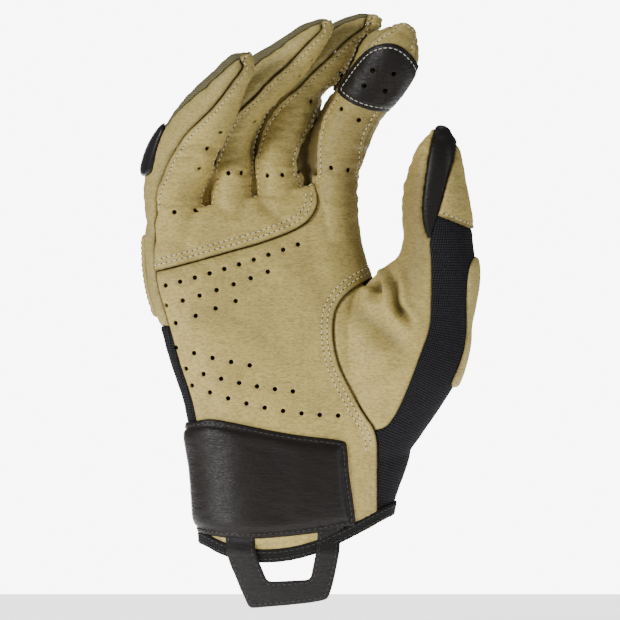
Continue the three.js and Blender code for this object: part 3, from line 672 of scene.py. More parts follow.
def fields_of(spots):
    """Distances in millimetres, each positive inside its panel."""
    x, y, z = spots.T
    flat = np.stack([x, z], axis=1)
    hand = {name: measure_finger(spots, name) for name in ("pinky", "ring", "middle", "index")}
    body = measure_body(spots)
    arc = lambda part, degrees: degrees * np.radians(1) * part["radius"]
    # The palm's leather wraps the fingertips, so the sides end there
    half_of = lambda part: PALMAR_HALF + 66 * np.clip((part["share"] - 0.93) / 0.05, 0, 1)
    reaches = [body["reach"], *(part["reach"] for part in hand.values())]
    front = shared(
        [
            arc(body, np.minimum(body["turn"] - FRONT_FROM, FRONT_TO - body["turn"])),
            *(arc(part, half_of(part) - np.abs(part["turn"])) for part in hand.values()),
        ],
        reaches,
    )
    behind = body["turn"] % 360
    back = shared(
        [
            arc(body, np.minimum(behind - BACK_FROM, BACK_TO - behind)),
            *(arc(part, np.abs(part["turn"]) - 180 + DORSAL_HALF) for part in hand.values()),
        ],
        reaches,
    )
    past_crotch = 3 * np.maximum(0, -inside(flat, rounded(CROTCH)))
    front = np.minimum(front, -y - 0.13 * PALM_DEPTH + past_crotch)
    back = np.minimum(back, y - 0.13 * PALM_DEPTH + past_crotch)

    thumb_front = np.vstack([soft_line(THUMB_PARTING), soft_line(THUMB_SEAM)])
    thumb_back = np.vstack([soft_line(THUMB_PARTING), soft_line(THUMB_BACK_SEAM)])
    upper = np.vstack([soft_line(UPPER_PALM_SEAM), [(-1.7 * PALM_WIDTH, 1.6 * BODY_HEIGHT)]])
    before_thumb = 0.12 * PALM_DEPTH - 0.2 * np.maximum(0, z - 0.3 * BODY_HEIGHT) - y
    rim = soft_line(RIM)
    return {
        "front": front,
        "back": back,
        "thumb": np.where(y < SIDE_LINE, inside(flat, thumb_front), inside(flat, thumb_back)),
        "upper": inside(flat, upper),
        "cuff": BACK_CUFF_TOP * BODY_HEIGHT - z,
        "strip": np.minimum(inside(flat, rounded(THUMB_STRIP)), before_thumb),
        "gusset": np.minimum(inside(flat, rounded(STRETCH_EDGE)), before_thumb),
        "hem": inside(flat, rounded(THUMB_HEM)),
        "rim": z - np.interp(x, rim[:, 0], rim[:, 1]),
    }


spots = read(skin_mesh) / MM
fields = fields_of(spots)
for name, values in fields.items():
    print(f"{name:12s} {values.min():8.1f} {values.max():8.1f}")

# %% [markdown]
# A seam is cut into the skin where a field changes its sign. Corners close to the line are
# moved onto it, other crossed edges get a new corner, and each crossed square is split in two.
# A corner that an earlier seam uses stays where it is.

# %% Cut the seams
skin = bmesh.new()
skin.from_mesh(skin_mesh)
for name in (*fields, "hole"):
    skin.verts.layers.float.new(name)
skin.verts.layers.int.new("locked")
layers = {name: skin.verts.layers.float[name] for name in (*fields, "hole")}
for name, values in fields.items():
    layer = layers[name]
    for vertex, value in zip(skin.verts, values):
        vertex[layer] = value


def cut(bm, name, where=lambda vertex: True):
    layer = bm.verts.layers.float[name]
    locked = bm.verts.layers.int["locked"]
    snaps = {}
    for edge in bm.edges:
        a, b = edge.verts
        if (a[layer] < 0) != (b[layer] < 0) and where(a) and where(b):
            t = a[layer] / (a[layer] - b[layer])
            for vertex, other, share in ((a, b, t), (b, a, 1 - t)):
                if share < 0.25 and not vertex[locked]:
                    if vertex not in snaps or share < snaps[vertex][0]:
                        snaps[vertex] = (share, vertex.co.lerp(other.co, share))
    for vertex, (share, place) in snaps.items():
        vertex.co = place
        vertex[layer] = 0
    crossed = []
    for edge in bm.edges:
        a, b = edge.verts
        if a[layer] * b[layer] < 0 and where(a) and where(b):
            crossed.append(edge)
    for edge in crossed:
        a, b = edge.verts
        t = a[layer] / (a[layer] - b[layer])
        made = bmesh.utils.edge_split(edge, a, min(0.97, max(0.03, t)))[1]
        made[layer] = 0
    faces = {face for vertex in bm.verts if vertex[layer] == 0 for face in vertex.link_faces}
    for face in list(faces):
        on = [vertex for vertex in face.verts if vertex[layer] == 0]
        if len(on) == 2 and not any(set(edge.verts) == set(on) for edge in face.edges):
            bmesh.utils.face_split(face, on[0], on[1])
    for vertex in bm.verts:
        if vertex[layer] == 0:
            vertex[locked] = 1
    return len(crossed)


def hole_axes():
    axes = []
    for start, end, count, bow in PALM_HOLES:
        for t in np.linspace(0, 1, count):
            across, rise = np.array(start) * (1 - t) + np.array(end) * t
            spot = (across * PALM_WIDTH, 0, (rise - bow * 4 * t * (1 - t)) * BODY_HEIGHT)
            axes.append((np.array(spot), np.array((0, -1.0, 0)), 60))
    for name, at, turn in FINGER_HOLES:
        centre = finger_stations(name, at)["centre"][0]
        mark = finger_point(name, np.array([at]), np.array([turn]))[0]
        size = np.linalg.norm(mark - centre)
        axes.append((centre, (mark - centre) / size, size + 3))
    for x, z in TIP_PAD_HOLES:
        axes.append((np.array((x, -15.0, z)), np.array((0, -1.0, 0)), 60))
    return axes


def from_holes(spots, axes):
    """The distance of each spot from the wall of the nearest hole, negative inside it."""
    nearest = np.full(len(spots), 50.0)
    for start, way, reach in axes:
        apart = spots - start
        along = apart @ way
        off = np.linalg.norm(apart - along[:, None] * way, axis=1) - HOLE
        nearest = np.where((along > 0) & (along < reach), np.minimum(nearest, off), nearest)
    return nearest


def pierce(bm, axes):
    """Cuts round holes, with a finer mesh around them."""
    layer = bm.verts.layers.float["hole"]

    def measure():
        spots = np.array([vertex.co for vertex in bm.verts]) / MM
        for vertex, far in zip(bm.verts, from_holes(spots, axes)):
            vertex[layer] = far

    measure()
    near = [edge for edge in bm.edges if all(-1 < vertex[layer] < 1.3 for vertex in edge.verts)]
    bmesh.ops.subdivide_edges(bm, edges=near, cuts=1, use_grid_fill=True)
    measure()
    return cut(bm, "hole", lambda vertex: vertex[layer] < 3)


THUMB, FRONT = layers["thumb"], layers["front"]
CUTS = {  # each seam, and where it runs
    "rim": lambda v: True,
    "thumb": lambda v: True,
    "front": lambda v: v[THUMB] < 1,
    "back": lambda v: v[THUMB] < 1 and v[FRONT] < 1,
    "cuff": lambda v: v[THUMB] < 1 and v[FRONT] < 1,
    "upper": lambda v: v[THUMB] < 1 and v[FRONT] > -1,
    "strip": lambda v: v[THUMB] > -1,
    "gusset": lambda v: v[THUMB] > -1,
    "hem": lambda v: v[THUMB] > -1,
}
for name, where in CUTS.items():
    print(name, cut(skin, name, where))
print("holes", pierce(skin, hole_axes()))
print("skin", len(skin.verts), "vertices")

# %% [markdown]
# Now each face of the skin gets the name of its panel. The sides of the fingers are five strips
# that hang together over the crotches, so they are told apart as loose islands.
# Crumbs that the crossing lines leave are given to the panel around them.

# %% Name the panels
SIDES = (
    "outer_side_panel",
    "pinky_ring_fourchette",
    "ring_middle_fourchette",
    "middle_index_fourchette",
    "index_side_panel",
)
names = [
    "below_rim", "hole", "upper_palm_panel", "lower_palm_panel", "back_panel", "back_cuff_panel",
    "thumb_panel", "thumb_strip", "thumb_tip_panel", "thumb_stretch_panel", *SIDES, "side",
]
number = {name: i for i, name in enumerate(names)}
skin.verts.index_update()
skin.faces.index_update()
skin.faces.ensure_lookup_table()
skin.verts.ensure_lookup_table()
value = {name: np.array([vertex[layer] for vertex in skin.verts]) for name, layer in layers.items()}
corners = [[vertex.index for vertex in face.verts] for face in skin.faces]
first = np.cumsum([0, *map(len, corners)])[:-1]
flat_corners = np.concatenate(corners)
of_face = {
    name: np.add.reduceat(values[flat_corners], first) / [len(c) for c in corners]
    for name, values in value.items()
}
kind = np.full(len(corners), number["side"])
kind[of_face["back"] > 0] = number["back_panel"]
kind[of_face["cuff"] > 0] = number["back_cuff_panel"]
kind[of_face["front"] > 0] = number["lower_palm_panel"]
kind[(of_face["front"] > 0) & (of_face["upper"] > 0)] = number["upper_palm_panel"]
thumb_side = of_face["thumb"] > 0
kind[thumb_side] = number["thumb_stretch_panel"]
kind[thumb_side & (of_face["hem"] > 0)] = number["thumb_tip_panel"]
kind[thumb_side & (of_face["gusset"] > 0)] = number["thumb_panel"]
kind[thumb_side & (of_face["strip"] > 0)] = number["thumb_strip"]
kind[of_face["hole"] < 0] = number["hole"]
kind[of_face["rim"] < 0] = number["below_rim"]


def islands(bm, kind):
    """Groups of joined faces of one kind."""
    found = np.full(len(bm.faces), -1)
    groups = []
    for start in bm.faces:
        if found[start.index] >= 0:
            continue
        group = [start]
        found[start.index] = len(groups)
        for face in group:
            for edge in face.edges:
                for other in edge.link_faces:
                    if found[other.index] < 0 and kind[other.index] == kind[start.index]:
                        found[other.index] = len(groups)
                        group.append(other)
        groups.append(group)
    return groups


for _ in range(2):
    for group in islands(skin, kind):
        if len(group) < 400 and kind[group[0].index] != number["hole"]:
            around = [
                kind[other.index]
                for face in group
                for edge in face.edges
                for other in edge.link_faces
                if kind[other.index] != kind[face.index]
            ]
            if around:
                kind[[face.index for face in group]] = max(set(around), key=around.count)
strips = [group for group in islands(skin, kind) if kind[group[0].index] == number["side"]]
across = lambda group: np.mean([face.calc_center_median().x for face in group])
strips = sorted(sorted(strips, key=len)[-len(SIDES):], key=across)
for name, group in zip(SIDES, strips):
    kind[[face.index for face in group]] = number[name]
for i, name in enumerate(names):
    print(f"{name:26s} {np.count_nonzero(kind == i)} faces")

# %% [markdown]
# Along a seam the leather is pulled in by the thread and puffs up beside it. For that each spot
# needs its distance from the nearest seam.

# %% Distance from the seams
base = np.array([vertex.co for vertex in skin.verts]) / MM
skin.normal_update()
normal = np.array([vertex.normal for vertex in skin.verts])
marks = []
for edge in skin.edges:
    if len(edge.link_faces) == 2:
        a, b = (kind[face.index] for face in edge.link_faces)
        if a != b and min(a, b) > number["hole"]:
            marks += [edge.verts[0].co, (edge.verts[0].co + edge.verts[1].co) / 2, edge.verts[1].co]
tree = KDTree(len(marks))
for i, mark in enumerate(marks):
    tree.insert(mark, i)
tree.balance()
seam = np.array([tree.find(vertex.co)[2] for vertex in skin.verts]) / MM
print("spots on seams", len(marks), "farthest", round(seam.max(), 1), "mm")

# %% [markdown]
# The relief of the leather comes in three sizes. Wide folds are placed where the glove
# bends: the pocket of the web, the folds at its foot, and the creases at the finger roots.
# Fine wrinkles run across the fingers, and a slow noise keeps the palm from being perfect.

# %% Relief
FOLDS = [  # a line in the palm's plane in millimetres, its width, its depth
    ([(31.5, 112), (34.3, 109), (34.6, 106)], 2.4, 5.0),
    ([(41, 116), (42.4, 107), (43.8, 100), (49, 93.7)], 1.7, 3.6),
    ([(23.6, 104.1), (27.5, 97.6), (34, 92.5), (42.1, 85.6), (49, 82)], 3.4, 1.3),
    ([(47, 123), (48.6, 115), (49.5, 108)], 3.0, 0.8),
    ([(-55, 165.5), (-51, 167), (-42, 168.5), (-31, 166)], 1.2, 0.8),
    ([(-52, 164.3), (-46, 163.5), (-41, 163)], 0.9, 0.5),
    ([(-61, 144), (-52, 143.8), (-46, 143.6), (-41, 142.4)], 0.8, 0.45),
    ([(-33, 142), (-27, 139.5), (-22, 143), (-19.5, 147)], 1.6, 0.55),
    ([(-18.5, 150), (-14, 144), (-8, 138), (1, 134.5)], 1.9, 0.7),
    ([(-17, 149), (-9.5, 147.5), (-2, 147.8), (4, 147)], 1.0, 0.5),
    ([(3, 135), (10, 138.5), (19, 145), (24, 151)], 1.5, 0.6),
    ([(9, 141.5), (14, 144.5), (20, 149)], 1.2, 0.5),
    ([(-28, 160), (-23, 157), (-19, 158)], 1.1, 0.5),
    ([(-9, 159), (-3, 157.5), (3, 158.5)], 1.1, 0.45),
    ([(-8, 170), (-2, 168.5), (4, 170)], 1.1, 0.45),
    ([(12, 160), (18, 158), (25, 160)], 1.2, 0.45),
    ([(13, 175), (19, 173), (27, 176)], 1.2, 0.45),
    ([(-56, 103), (-38, 99), (-20, 92), (-4, 80)], 4.5, 0.45),
    ([(2, 128), (9, 112), (14, 98)], 5.0, 0.5),
    ([(-62, 128), (-48, 126), (-36, 117)], 2.2, 0.3),
    ([(-52, 128), (-42, 119), (-30, 114)], 2.0, 0.3),
    ([(60, 128), (58, 112), (57, 96)], 4.0, 0.5),
    ([(26, 66), (38, 72), (50, 82)], 4.0, 0.5),
]


def catmull(rows, step=0.7):
    """Points along a smooth line through rows."""
    rows = np.array(rows, float)
    columns = tuple(range(rows.shape[1]))
    length = np.hypot(*np.diff(rows[:, :2], axis=0).T).sum()
    shares = np.linspace(0, 1, max(3, int(length / step)))
    return np.stack([through(rows.tolist(), columns, c, shares) for c in columns], axis=1)


def rough(spots, size, seed):
    """A slow noise between about -1 and 1."""
    size = np.broadcast_to(np.array(size, float), 3)
    return np.array([noise.noise(Vector(spot / size) + Vector((seed, 0, 0))) for spot in spots])


def bell(distance, place, width):
    return np.exp(-(((distance - place) / width) ** 2))


flat = base[:, [0, 2]]
facing = np.clip(-normal[:, 1] * 2.5, 0, 1)
# This value is painted shade with some dirt: it darkens the colour in the middle of each crease,
# and below also in the slots and on the shaded inside of the hand
fold = np.zeros(len(base))
relief = np.zeros(len(base))
for line, width, depth in FOLDS:
    distance, along = line_distance(flat, catmull(line))
    length = along.max()
    fade = np.clip(np.minimum(along, length - along) / (0.3 * length) + 0.25, 0, 1)
    fade = np.where(distance < 4 * width, fade, 0) * facing
    relief -= depth * fade * bell(distance, 0, width)
    relief += 0.35 * depth * fade * bell(distance, 2.1 * width, width)
    fold = np.maximum(fold, fade * min(1, depth / 3) * bell(distance, 0, 0.9 * width))

# Painted shade: the sides in the slots, the index finger and the thumb's inside are darkest, where
# the curled fingers and the slot walls would shade them
SLOTS = {"ring_middle_fourchette": 183, "middle_index_fourchette": 205}
for name, top in SLOTS.items():
    inside_slot = np.zeros(len(base))
    for face in skin.faces:
        if kind[face.index] == number[name]:
            inside_slot[[vertex.index for vertex in face.verts]] = 1
    inside_slot *= np.clip((top - base[:, 2]) / 22, 0, 1) * (normal[:, 1] < 0.5)
    fold = np.maximum(fold, 0.97 * inside_slot)
on_palm = np.clip(0.5 - normal[:, 1], 0, 1)
PAINTED_SHADE_SPOTS = [  # across, up, wide, tall, how much
    (28, 165, 20, 32, 0.5), (37, 205, 18, 14, 0.3), (24, 128, 12, 22, 0.3), (1, 172, 13, 24, 0.22),
    (50, 135, 7.5, 34, 0.62), (-20, 172, 13, 22, 0.1), (42, 116, 8, 12, 0.4),
]
for x, z, wide, tall, much in PAINTED_SHADE_SPOTS:
    spot = np.exp(-(((flat[:, 0] - x) / wide) ** 2 + ((flat[:, 1] - z) / tall) ** 2) ** 2)
    fold = np.maximum(fold, much * spot * on_palm)

slow = rough(base, 17, 3.1)
crinkle = rough(base, (8, 8, 2.6), 11.7)
cross = rough(base, (5, 5, 5), 27.3)
near = np.exp(-seam / 5)
on_finger = np.clip((base[:, 2] - 132) / 14, 0, 1)
relief += 0.35 * slow + (0.12 + 0.4 * on_finger + 0.25 * near) * crinkle + 0.15 * cross
relief -= 0.3 * bell(value["hole"], 0, 0.7)
print("relief from", round(relief.min(), 2), "to", round(relief.max(), 2), "mm")

# %% [markdown]
# Every panel is a copy of its faces with its own edge shape. The palm's panels lie over their
# neighbours with a cut edge, and the thread presses a groove beside it. The fronts of the fingers
# end in a raised seam, and other edges are turned in. A wall inside gives each its thickness.

# %% Sew the panels
ROWS = (2.4, 4.7)  # the distance of the two rows of stitches from a lapped edge
FINGER_ROW = 1.9
HEM_ROW = 1.5


def lapped(far, rows, high=0.75):
    """A panel's raised edge with its grooves, by the distance from the edge."""
    return high * np.clip(1.3 - far / 9, 0, 1) - sum(0.22 * bell(far, row, 0.7) for row in rows)


def edge_shape(name):
    """How far each spot of a panel is pushed out, in millimetres."""
    puff = 0.35 * (1 - np.exp(-seam / 3))
    shape = relief * np.clip(0.35 + seam / 4, 0, 1) - 0.6 * bell(seam, 0, 0.9) + puff
    hand = np.clip((152 - base[:, 2]) / 10, 0, 1)
    outseam = 0.75 * bell(seam, 0.5, 1.0) - 0.2 * bell(seam, FINGER_ROW, 0.5)
    if name == "upper_palm_panel":
        lap = np.abs(value["upper"])
        shape = relief + puff + hand * lapped(lap, ROWS) + (1 - hand) * outseam
        left = bell(np.maximum(0, value["front"]), 0, 1.2) * hand
        shape -= 0.9 * left
    if name == "lower_palm_panel":
        shape += (1 - hand) * (outseam + 0.6 * bell(seam, 0, 0.9))
        crescent = np.clip((base[:, 0] + 5) / 5, 0, 1) * hand
        shape += crescent * (lapped(np.abs(value["thumb"]), ROWS, 0.6))
        shape += crescent * 0.6 * bell(np.abs(value["thumb"]), 0, 0.9)
        shape -= 0.5 * bell(np.abs(value["upper"]), 0, 2.5) * hand
    if name == "thumb_panel":
        shape -= 0.3 * bell(np.abs(value["thumb"]), 0, 2.0)
    if name in SIDES:
        shape = -0.8 * bell(seam, 0, 1.2) + 0.5 * (1 - np.exp(-seam / 2.5)) + relief * 0.7
    if name == "thumb_tip_panel":
        hem = np.abs(value["hem"])
        shape = relief * 0.5 + 0.55 + 0.35 * bell(hem, 0, 1.2) - 0.25 * bell(hem, HEM_ROW, 0.5)
        shape -= 0.9 * bell(np.abs(value["strip"]), 0, 0.8) * (value["strip"] > -6)
    if name == "thumb_strip":
        shape = 0.2 + 0.45 * (1 - np.exp(-seam / 1.2)) - 0.5 * bell(seam, 0, 0.5)
    if name in ("thumb_stretch_panel", "back_cuff_panel", "back_panel"):
        shape = 0.6 * relief - 0.5 * bell(seam, 0, 0.8) + 0.1
    return shape


# The stretch fabric's threads follow the middle line of the panel, and cross it at right angles
MIDDLE_LINE = [(67, 150), (67.5, 120), (67, 92), (61, 70), (48, 44), (40, 20), (37, 0), (36, -20)]
line = catmull(MIDDLE_LINE, 2.0)
aside, walked = line_distance(flat, line)
tangent = np.gradient(line, axis=0)
steps = np.concatenate([[0], np.cumsum(np.hypot(*np.diff(line, axis=0).T))])
here = np.stack([np.interp(walked, steps, line[:, k]) for k in (0, 1)], axis=1)
ahead = np.stack([np.interp(walked, steps, tangent[:, k]) for k in (0, 1)], axis=1)
right = ahead[:, 1] * (flat - here)[:, 0] - ahead[:, 0] * (flat - here)[:, 1]
threads = {
    "thread_along": walked,
    "thread_round": base[:, 1] - aside * np.sign(right),
    "thread_wrap": np.arctan2(base[:, 0] + 3, 6 - base[:, 1]) * 34,
    "height": base[:, 2],
}


def new_piece(name, mesh):
    piece = bpy.data.objects.new(name + "_sewn", mesh)
    bpy.context.scene.collection.objects.link(piece)
    for polygon in mesh.polygons:
        polygon.use_smooth = True
    return piece


skin.verts.layers.int.new("identity")
for name in ("seam", "fold", *threads):
    skin.verts.layers.float.new(name)
identity = skin.verts.layers.int["identity"]
extra = {"seam": seam, "fold": fold, **threads}
extra = [(skin.verts.layers.float[name], values) for name, values in extra.items()]
for i, vertex in enumerate(skin.verts):
    vertex[identity] = i
    for layer, values in extra:
        vertex[layer] = values[i]

pieces = {}
for name in names[2:-1]:
    bm = skin.copy()
    away = [face for face, k in zip(bm.faces, kind) if k != number[name]]
    bmesh.ops.delete(bm, geom=away, context="FACES")
    shape = edge_shape(name)
    own = bm.verts.layers.int["identity"]
    for vertex in bm.verts:
        i = vertex[own]
        vertex.co = Vector(base[i] + normal[i] * shape[i]) * MM
    mesh = bpy.data.meshes.new(name)
    bm.to_mesh(mesh)
    bm.free()
    piece = new_piece(name, mesh)
    wall = piece.modifiers.new("wall", "SOLIDIFY")
    wall.thickness = WALL * MM
    wall.offset = -1
    pieces[name] = piece
    print(f"{name:26s} {len(mesh.polygons)} faces")

# %% [markdown]
# The strap, the guards, the fingertip pad, the pull tab and the binding lie on the skin. Each is
# the part of the skin inside its outline, raised by its own thickness. The strap is a pad in a
# flat stitched border, the guards are soft cushions, and the tab and the binding are flat bands.

# %% Lay the pads and the strap on
pinky = measure_finger(spots, "pinky")
x, y, z = spots.T
plane = spots[:, [0, 2]]
edge_field = {
    "wrist_strap": np.where(
        y < SIDE_LINE,
        inside(plane, rounded(STRAP_FRONT)),
        inside(plane, rounded(STRAP_BACK)),
    ),
    "thumb_guard": inside(plane, rounded(THUMB_GUARD)),
    "knuckle_guard": np.minimum(inside(plane, rounded(KNUCKLE_GUARD)), y - SIDE_LINE),
    "pinky_knuckle_pad": np.where(
        pinky["reach"] < 1.25, inside(plane, rounded(PINKY_PAD)), -9
    ),
    "touch_tip_pad": np.minimum(
        inside(plane, rounded(TIP_PAD)),
        -0.42 * PALM_DEPTH - 0.5 * (z - 1.32 * BODY_HEIGHT) - y,
    ),
    "pull_tab": np.minimum(inside(plane, rounded(PULL_TAB, 2.0)), SIDE_LINE - y),
    "cuff_binding": np.minimum(fields["rim"], 5.8 - fields["rim"]),
}


def quarter(far, wide):
    """A rounded rise from 0 at a border to 1."""
    t = np.clip(far / wide, 0, 1)
    return np.sqrt(np.maximum(0, 1 - (1 - t) ** 2))


def strap_height(far, spots):
    waves = 0.45 * rough(spots, (13, 40, 22), 5.2) + 0.12 * rough(spots, (6, 6, 2.4), 8.8)
    valley = 0.7 * bell(spots[:, 0] + 8 + 0.15 * (spots[:, 2] - 20), 0, 9)
    inner = np.clip((far - 2.9) / 5, 0, 1)
    return (
        0.5 + 0.75 * quarter(far, 0.8) - 0.3 * bell(far, 2.9, 0.5)
        + 1.7 * np.sqrt(inner * (2 - inner)) + inner * (waves - valley)
    )


HEIGHTS = {  # by the distance from the border: height over the skin, in millimetres
    "wrist_strap": strap_height,
    "thumb_guard": lambda far, s: 0.5 + 2.1 * quarter(far, 5) + 0.15 * rough(s, 8, 1.5),
    "knuckle_guard": lambda far, s: 0.7 + 2.5 * quarter(far, 6) + 0.15 * rough(s, 8, 2.5),
    "pinky_knuckle_pad": lambda far, s: 0.6 + 2.1 * quarter(far, 4),
    "touch_tip_pad": lambda far, s: 0.7 + 0.45 * quarter(far, 0.9) - 0.25 * bell(far, 1.9, 0.5)
    + 0.3 * quarter(far - 1.9, 3) + 0.12 * rough(s, (1.6, 5, 9), 6.1),
    "pull_tab": lambda far, s: 1.5 + 0.5 * quarter(far, 0.6) - 0.18 * bell(far, 1.5, 0.4),
    "cuff_binding": lambda far, s: 0.5 + 0.8 * quarter(far, 0.9) - 0.15 * bell(far, 1.5, 0.35),
}
LIFTS = {"wrist_strap": 0.3}
calm = smoothed(read(skin_mesh), edge_pairs(skin_mesh), 25)
for name, height_of in HEIGHTS.items():
    bm = bmesh.new()
    bm.from_mesh(skin_mesh)
    for layer in ("edge", "hole"):
        bm.verts.layers.float.new(layer)
    bm.verts.layers.float_vector.new("outward")
    bm.verts.layers.int.new("locked")
    edge = bm.verts.layers.float["edge"]
    outward = bm.verts.layers.float_vector["outward"]
    for vertex, far, place in zip(bm.verts, edge_field[name], calm):
        vertex[edge] = far
        vertex.co = place
    bm.normal_update()
    away = [face for face in bm.faces if max(vertex[edge] for vertex in face.verts) < -1.5]
    for vertex in bm.verts:
        vertex[outward] = vertex.normal
    bmesh.ops.delete(bm, geom=away, context="FACES")
    cut(bm, "edge")
    if name == "touch_tip_pad":
        pierce(bm, hole_axes()[-len(TIP_PAD_HOLES):])
    hole = bm.verts.layers.float["hole"]
    away = [face for face in bm.faces if sum(vertex[edge] for vertex in face.verts) < 0]
    if name == "touch_tip_pad":
        away += [f for f in bm.faces if f not in away and sum(v[hole] for v in f.verts) < 0]
    bmesh.ops.delete(bm, geom=away, context="FACES")
    bm.verts.index_update()
    bm.faces.index_update()
    groups = sorted(islands(bm, np.zeros(len(bm.faces), int)), key=len)
    bmesh.ops.delete(bm, geom=[face for group in groups[:-1] for face in group], context="FACES")
    places = np.array([vertex.co for vertex in bm.verts]) / MM
    far = np.array([max(0, vertex[edge]) for vertex in bm.verts])
    heights = height_of(far, places)
    for vertex, height in zip(bm.verts, heights):
        out = vertex[outward].normalized()
        lift = LIFTS.get(name, 0)
        if name == "pull_tab":  # its ends are tucked under the strap
            tucked = min(1, max(0, (vertex.co.z / MM + 4.5) / 4))
            lift = 1.5 * (1 - tucked) - 1.0 * tucked
        vertex.co += out * (height + lift) * MM
    if name == "cuff_binding":
        heights = 2 * heights + WALL
    mesh = bpy.data.meshes.new(name)
    bm.to_mesh(mesh)
    bm.free()
    piece = new_piece(name, mesh)
    group = piece.vertex_groups.new(name="height")
    for i, height in enumerate(heights):
        group.add([i], height / heights.max(), "REPLACE")
    wall = piece.modifiers.new("wall", "SOLIDIFY")
    wall.thickness = heights.max() * MM
    wall.offset = -1
    wall.vertex_group = "height"
    pieces[name] = piece
    print(f"{name:26s} {len(mesh.polygons)} faces")
skin.free()
bpy.data.meshes.remove(skin_mesh)

# %% [markdown]
# A row of stitches follows a line at a fixed distance from an edge. The line is found where a
# field takes that value on the panel itself, so the thread lies on the leather with all its
# folds. Each stitch is a small bead of thread, with a flat dark bead at each end as painted shade
# of its needle hole.

# %% Stitches
PITCH = 2.4
SHORTEST = 2  # a line shorter than this many stitches gets none


def row_lines(piece, field, level, keep=lambda place: True):
    """Smooth lines on a piece where a field has a value, as places with normals."""
    bm = bmesh.new()
    bm.from_mesh(piece.data)
    layer = bm.verts.layers.float[field]
    crossing = {}
    for edge in bm.edges:
        a, b = edge.verts
        if (a[layer] < level) != (b[layer] < level):
            t = (level - a[layer]) / (b[layer] - a[layer])
            place = a.co.lerp(b.co, t)
            if keep(place / MM):
                crossing[edge] = (place, a.normal.lerp(b.normal, t))
    next_to = {edge: [] for edge in crossing}
    for face in {face for edge in crossing for face in edge.link_faces}:
        met = [edge for edge in face.edges if edge in crossing]
        if len(met) == 2:
            next_to[met[0]].append(met[1])
            next_to[met[1]].append(met[0])
    lines, used = [], set()
    order = sorted(crossing, key=lambda edge: (len(next_to[edge]), edge.index))
    for start in order:
        if start in used:
            continue
        line, edge = [], start
        while edge is not None:
            used.add(edge)
            line.append(crossing[edge])
            edge = next((other for other in next_to[edge] if other not in used), None)
        if len(line) > 8:
            places = np.array([place for place, way in line])
            ways = np.array([way for place, way in line])
            for _ in range(4):
                places[1:-1] = (places[:-2] + 2 * places[1:-1] + places[2:]) / 4
                ways[1:-1] = (ways[:-2] + 2 * ways[1:-1] + ways[2:]) / 4
            lines.append((places / MM, ways))
    bm.free()
    return lines


def sew(name, lines, pitch=PITCH, long=1.7, thick=0.5, body="root"):
    """Stitches along lines, with flat dark beads as painted shade of the needle holes, as two
    pieces.
    """
    thread, needle = bmesh.new(), bmesh.new()
    count = 0
    for places, ways in lines:
        walked = np.concatenate([[0], np.cumsum(np.linalg.norm(np.diff(places, axis=0), axis=1))])
        if walked[-1] < SHORTEST * pitch:
            continue
        steps = np.linspace(0, walked[-1], max(2, round(walked[-1] / pitch)) * 2 + 1)
        at = np.stack([np.interp(steps, walked, places[:, k]) for k in range(3)], axis=1)
        up = np.stack([np.interp(steps, walked, ways[:, k]) for k in range(3)], axis=1)
        for i in range(1, len(steps) - 1):
            ahead = Vector(at[i + 1] - at[i - 1]).normalized()
            out = Vector(up[i]).normalized()
            side = out.cross(ahead).normalized()
            turn = Matrix((ahead, side, out)).transposed().to_4x4()
            if i % 2:
                spot = Matrix.Translation((Vector(at[i]) + out * 0.1) * MM)
                size = Matrix.Diagonal((long / 2, thick / 2, thick / 2, 1))
                bmesh.ops.create_uvsphere(
                    thread, u_segments=6, v_segments=5, radius=MM,
                    matrix=spot @ turn @ size @ Matrix.Rotation(math.pi / 2, 4, "Y"),
                )
                count += 1
            else:
                # A flat dark bead on the leather, painted shade of a needle hole
                spot = Matrix.Translation((Vector(at[i]) + out * 0.03) * MM)
                size = Matrix.Diagonal((0.36, 0.3, 0.1, 1))
                bmesh.ops.create_uvsphere(
                    needle, u_segments=6, v_segments=4, radius=MM, matrix=spot @ turn @ size
                )
    made = []
    for part, bm in (("thread", thread), ("needle_hole_shade", needle)):
        mesh = bpy.data.meshes.new(f"{name}_{part}")
        bm.to_mesh(mesh)
        bm.free()
        piece = bpy.data.objects.new(mesh.name, mesh)
        bpy.context.scene.collection.objects.link(piece)
        for polygon in mesh.polygons:
            polygon.use_smooth = True
        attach(piece, body)
        made.append(piece)
    print(f"{name:26s} {count} stitches")
    return made


upper, lower = pieces["upper_palm_panel"], pieces["lower_palm_panel"]
crescent = lambda p, low, high: p.y < 0.03 * PALM_DEPTH and p.x > -5 and low < p.z < high
tan_rows = {
    "upper_palm": row_lines(upper, "upper", ROWS[0], lambda p: p.z < 150)
    + row_lines(upper, "upper", ROWS[1], lambda p: p.z < 150),
    "crescent": row_lines(lower, "thumb", -ROWS[0], lambda p: crescent(p, 40, 118))
    + row_lines(lower, "thumb", -ROWS[1], lambda p: crescent(p, 38, 120)),
    "finger_fronts": row_lines(upper, "front", FINGER_ROW, lambda p: p.z > 141)
    + row_lines(upper, "upper", FINGER_ROW, lambda p: p.z > 152)
    + row_lines(lower, "seam", FINGER_ROW, lambda p: p.z > 152),
    "thumb_hem": row_lines(pieces["thumb_tip_panel"], "hem", HEM_ROW, lambda p: p.x > 40),
}
TAN_THREAD = [sew(name, lines) for name, lines in tan_rows.items()]
PALE_THREAD = [
    sew("tip_pad", row_lines(pieces["touch_tip_pad"], "edge", 1.9), 2.3, 1.8, 0.4),
]
BLACK_THREAD = [
    sew("strap", row_lines(pieces["wrist_strap"], "edge", 1.7), 2.4, 1.7, 0.45),
    sew("pull_tab", row_lines(pieces["pull_tab"], "edge", 1.5), 2.4, 1.7, 0.4),
    sew("binding", row_lines(pieces["cuff_binding"], "edge", 1.5), 2.4, 1.7, 0.4),
    sew("guard", row_lines(pieces["knuckle_guard"], "edge", 1.6), 2.4, 1.7, 0.45),
]
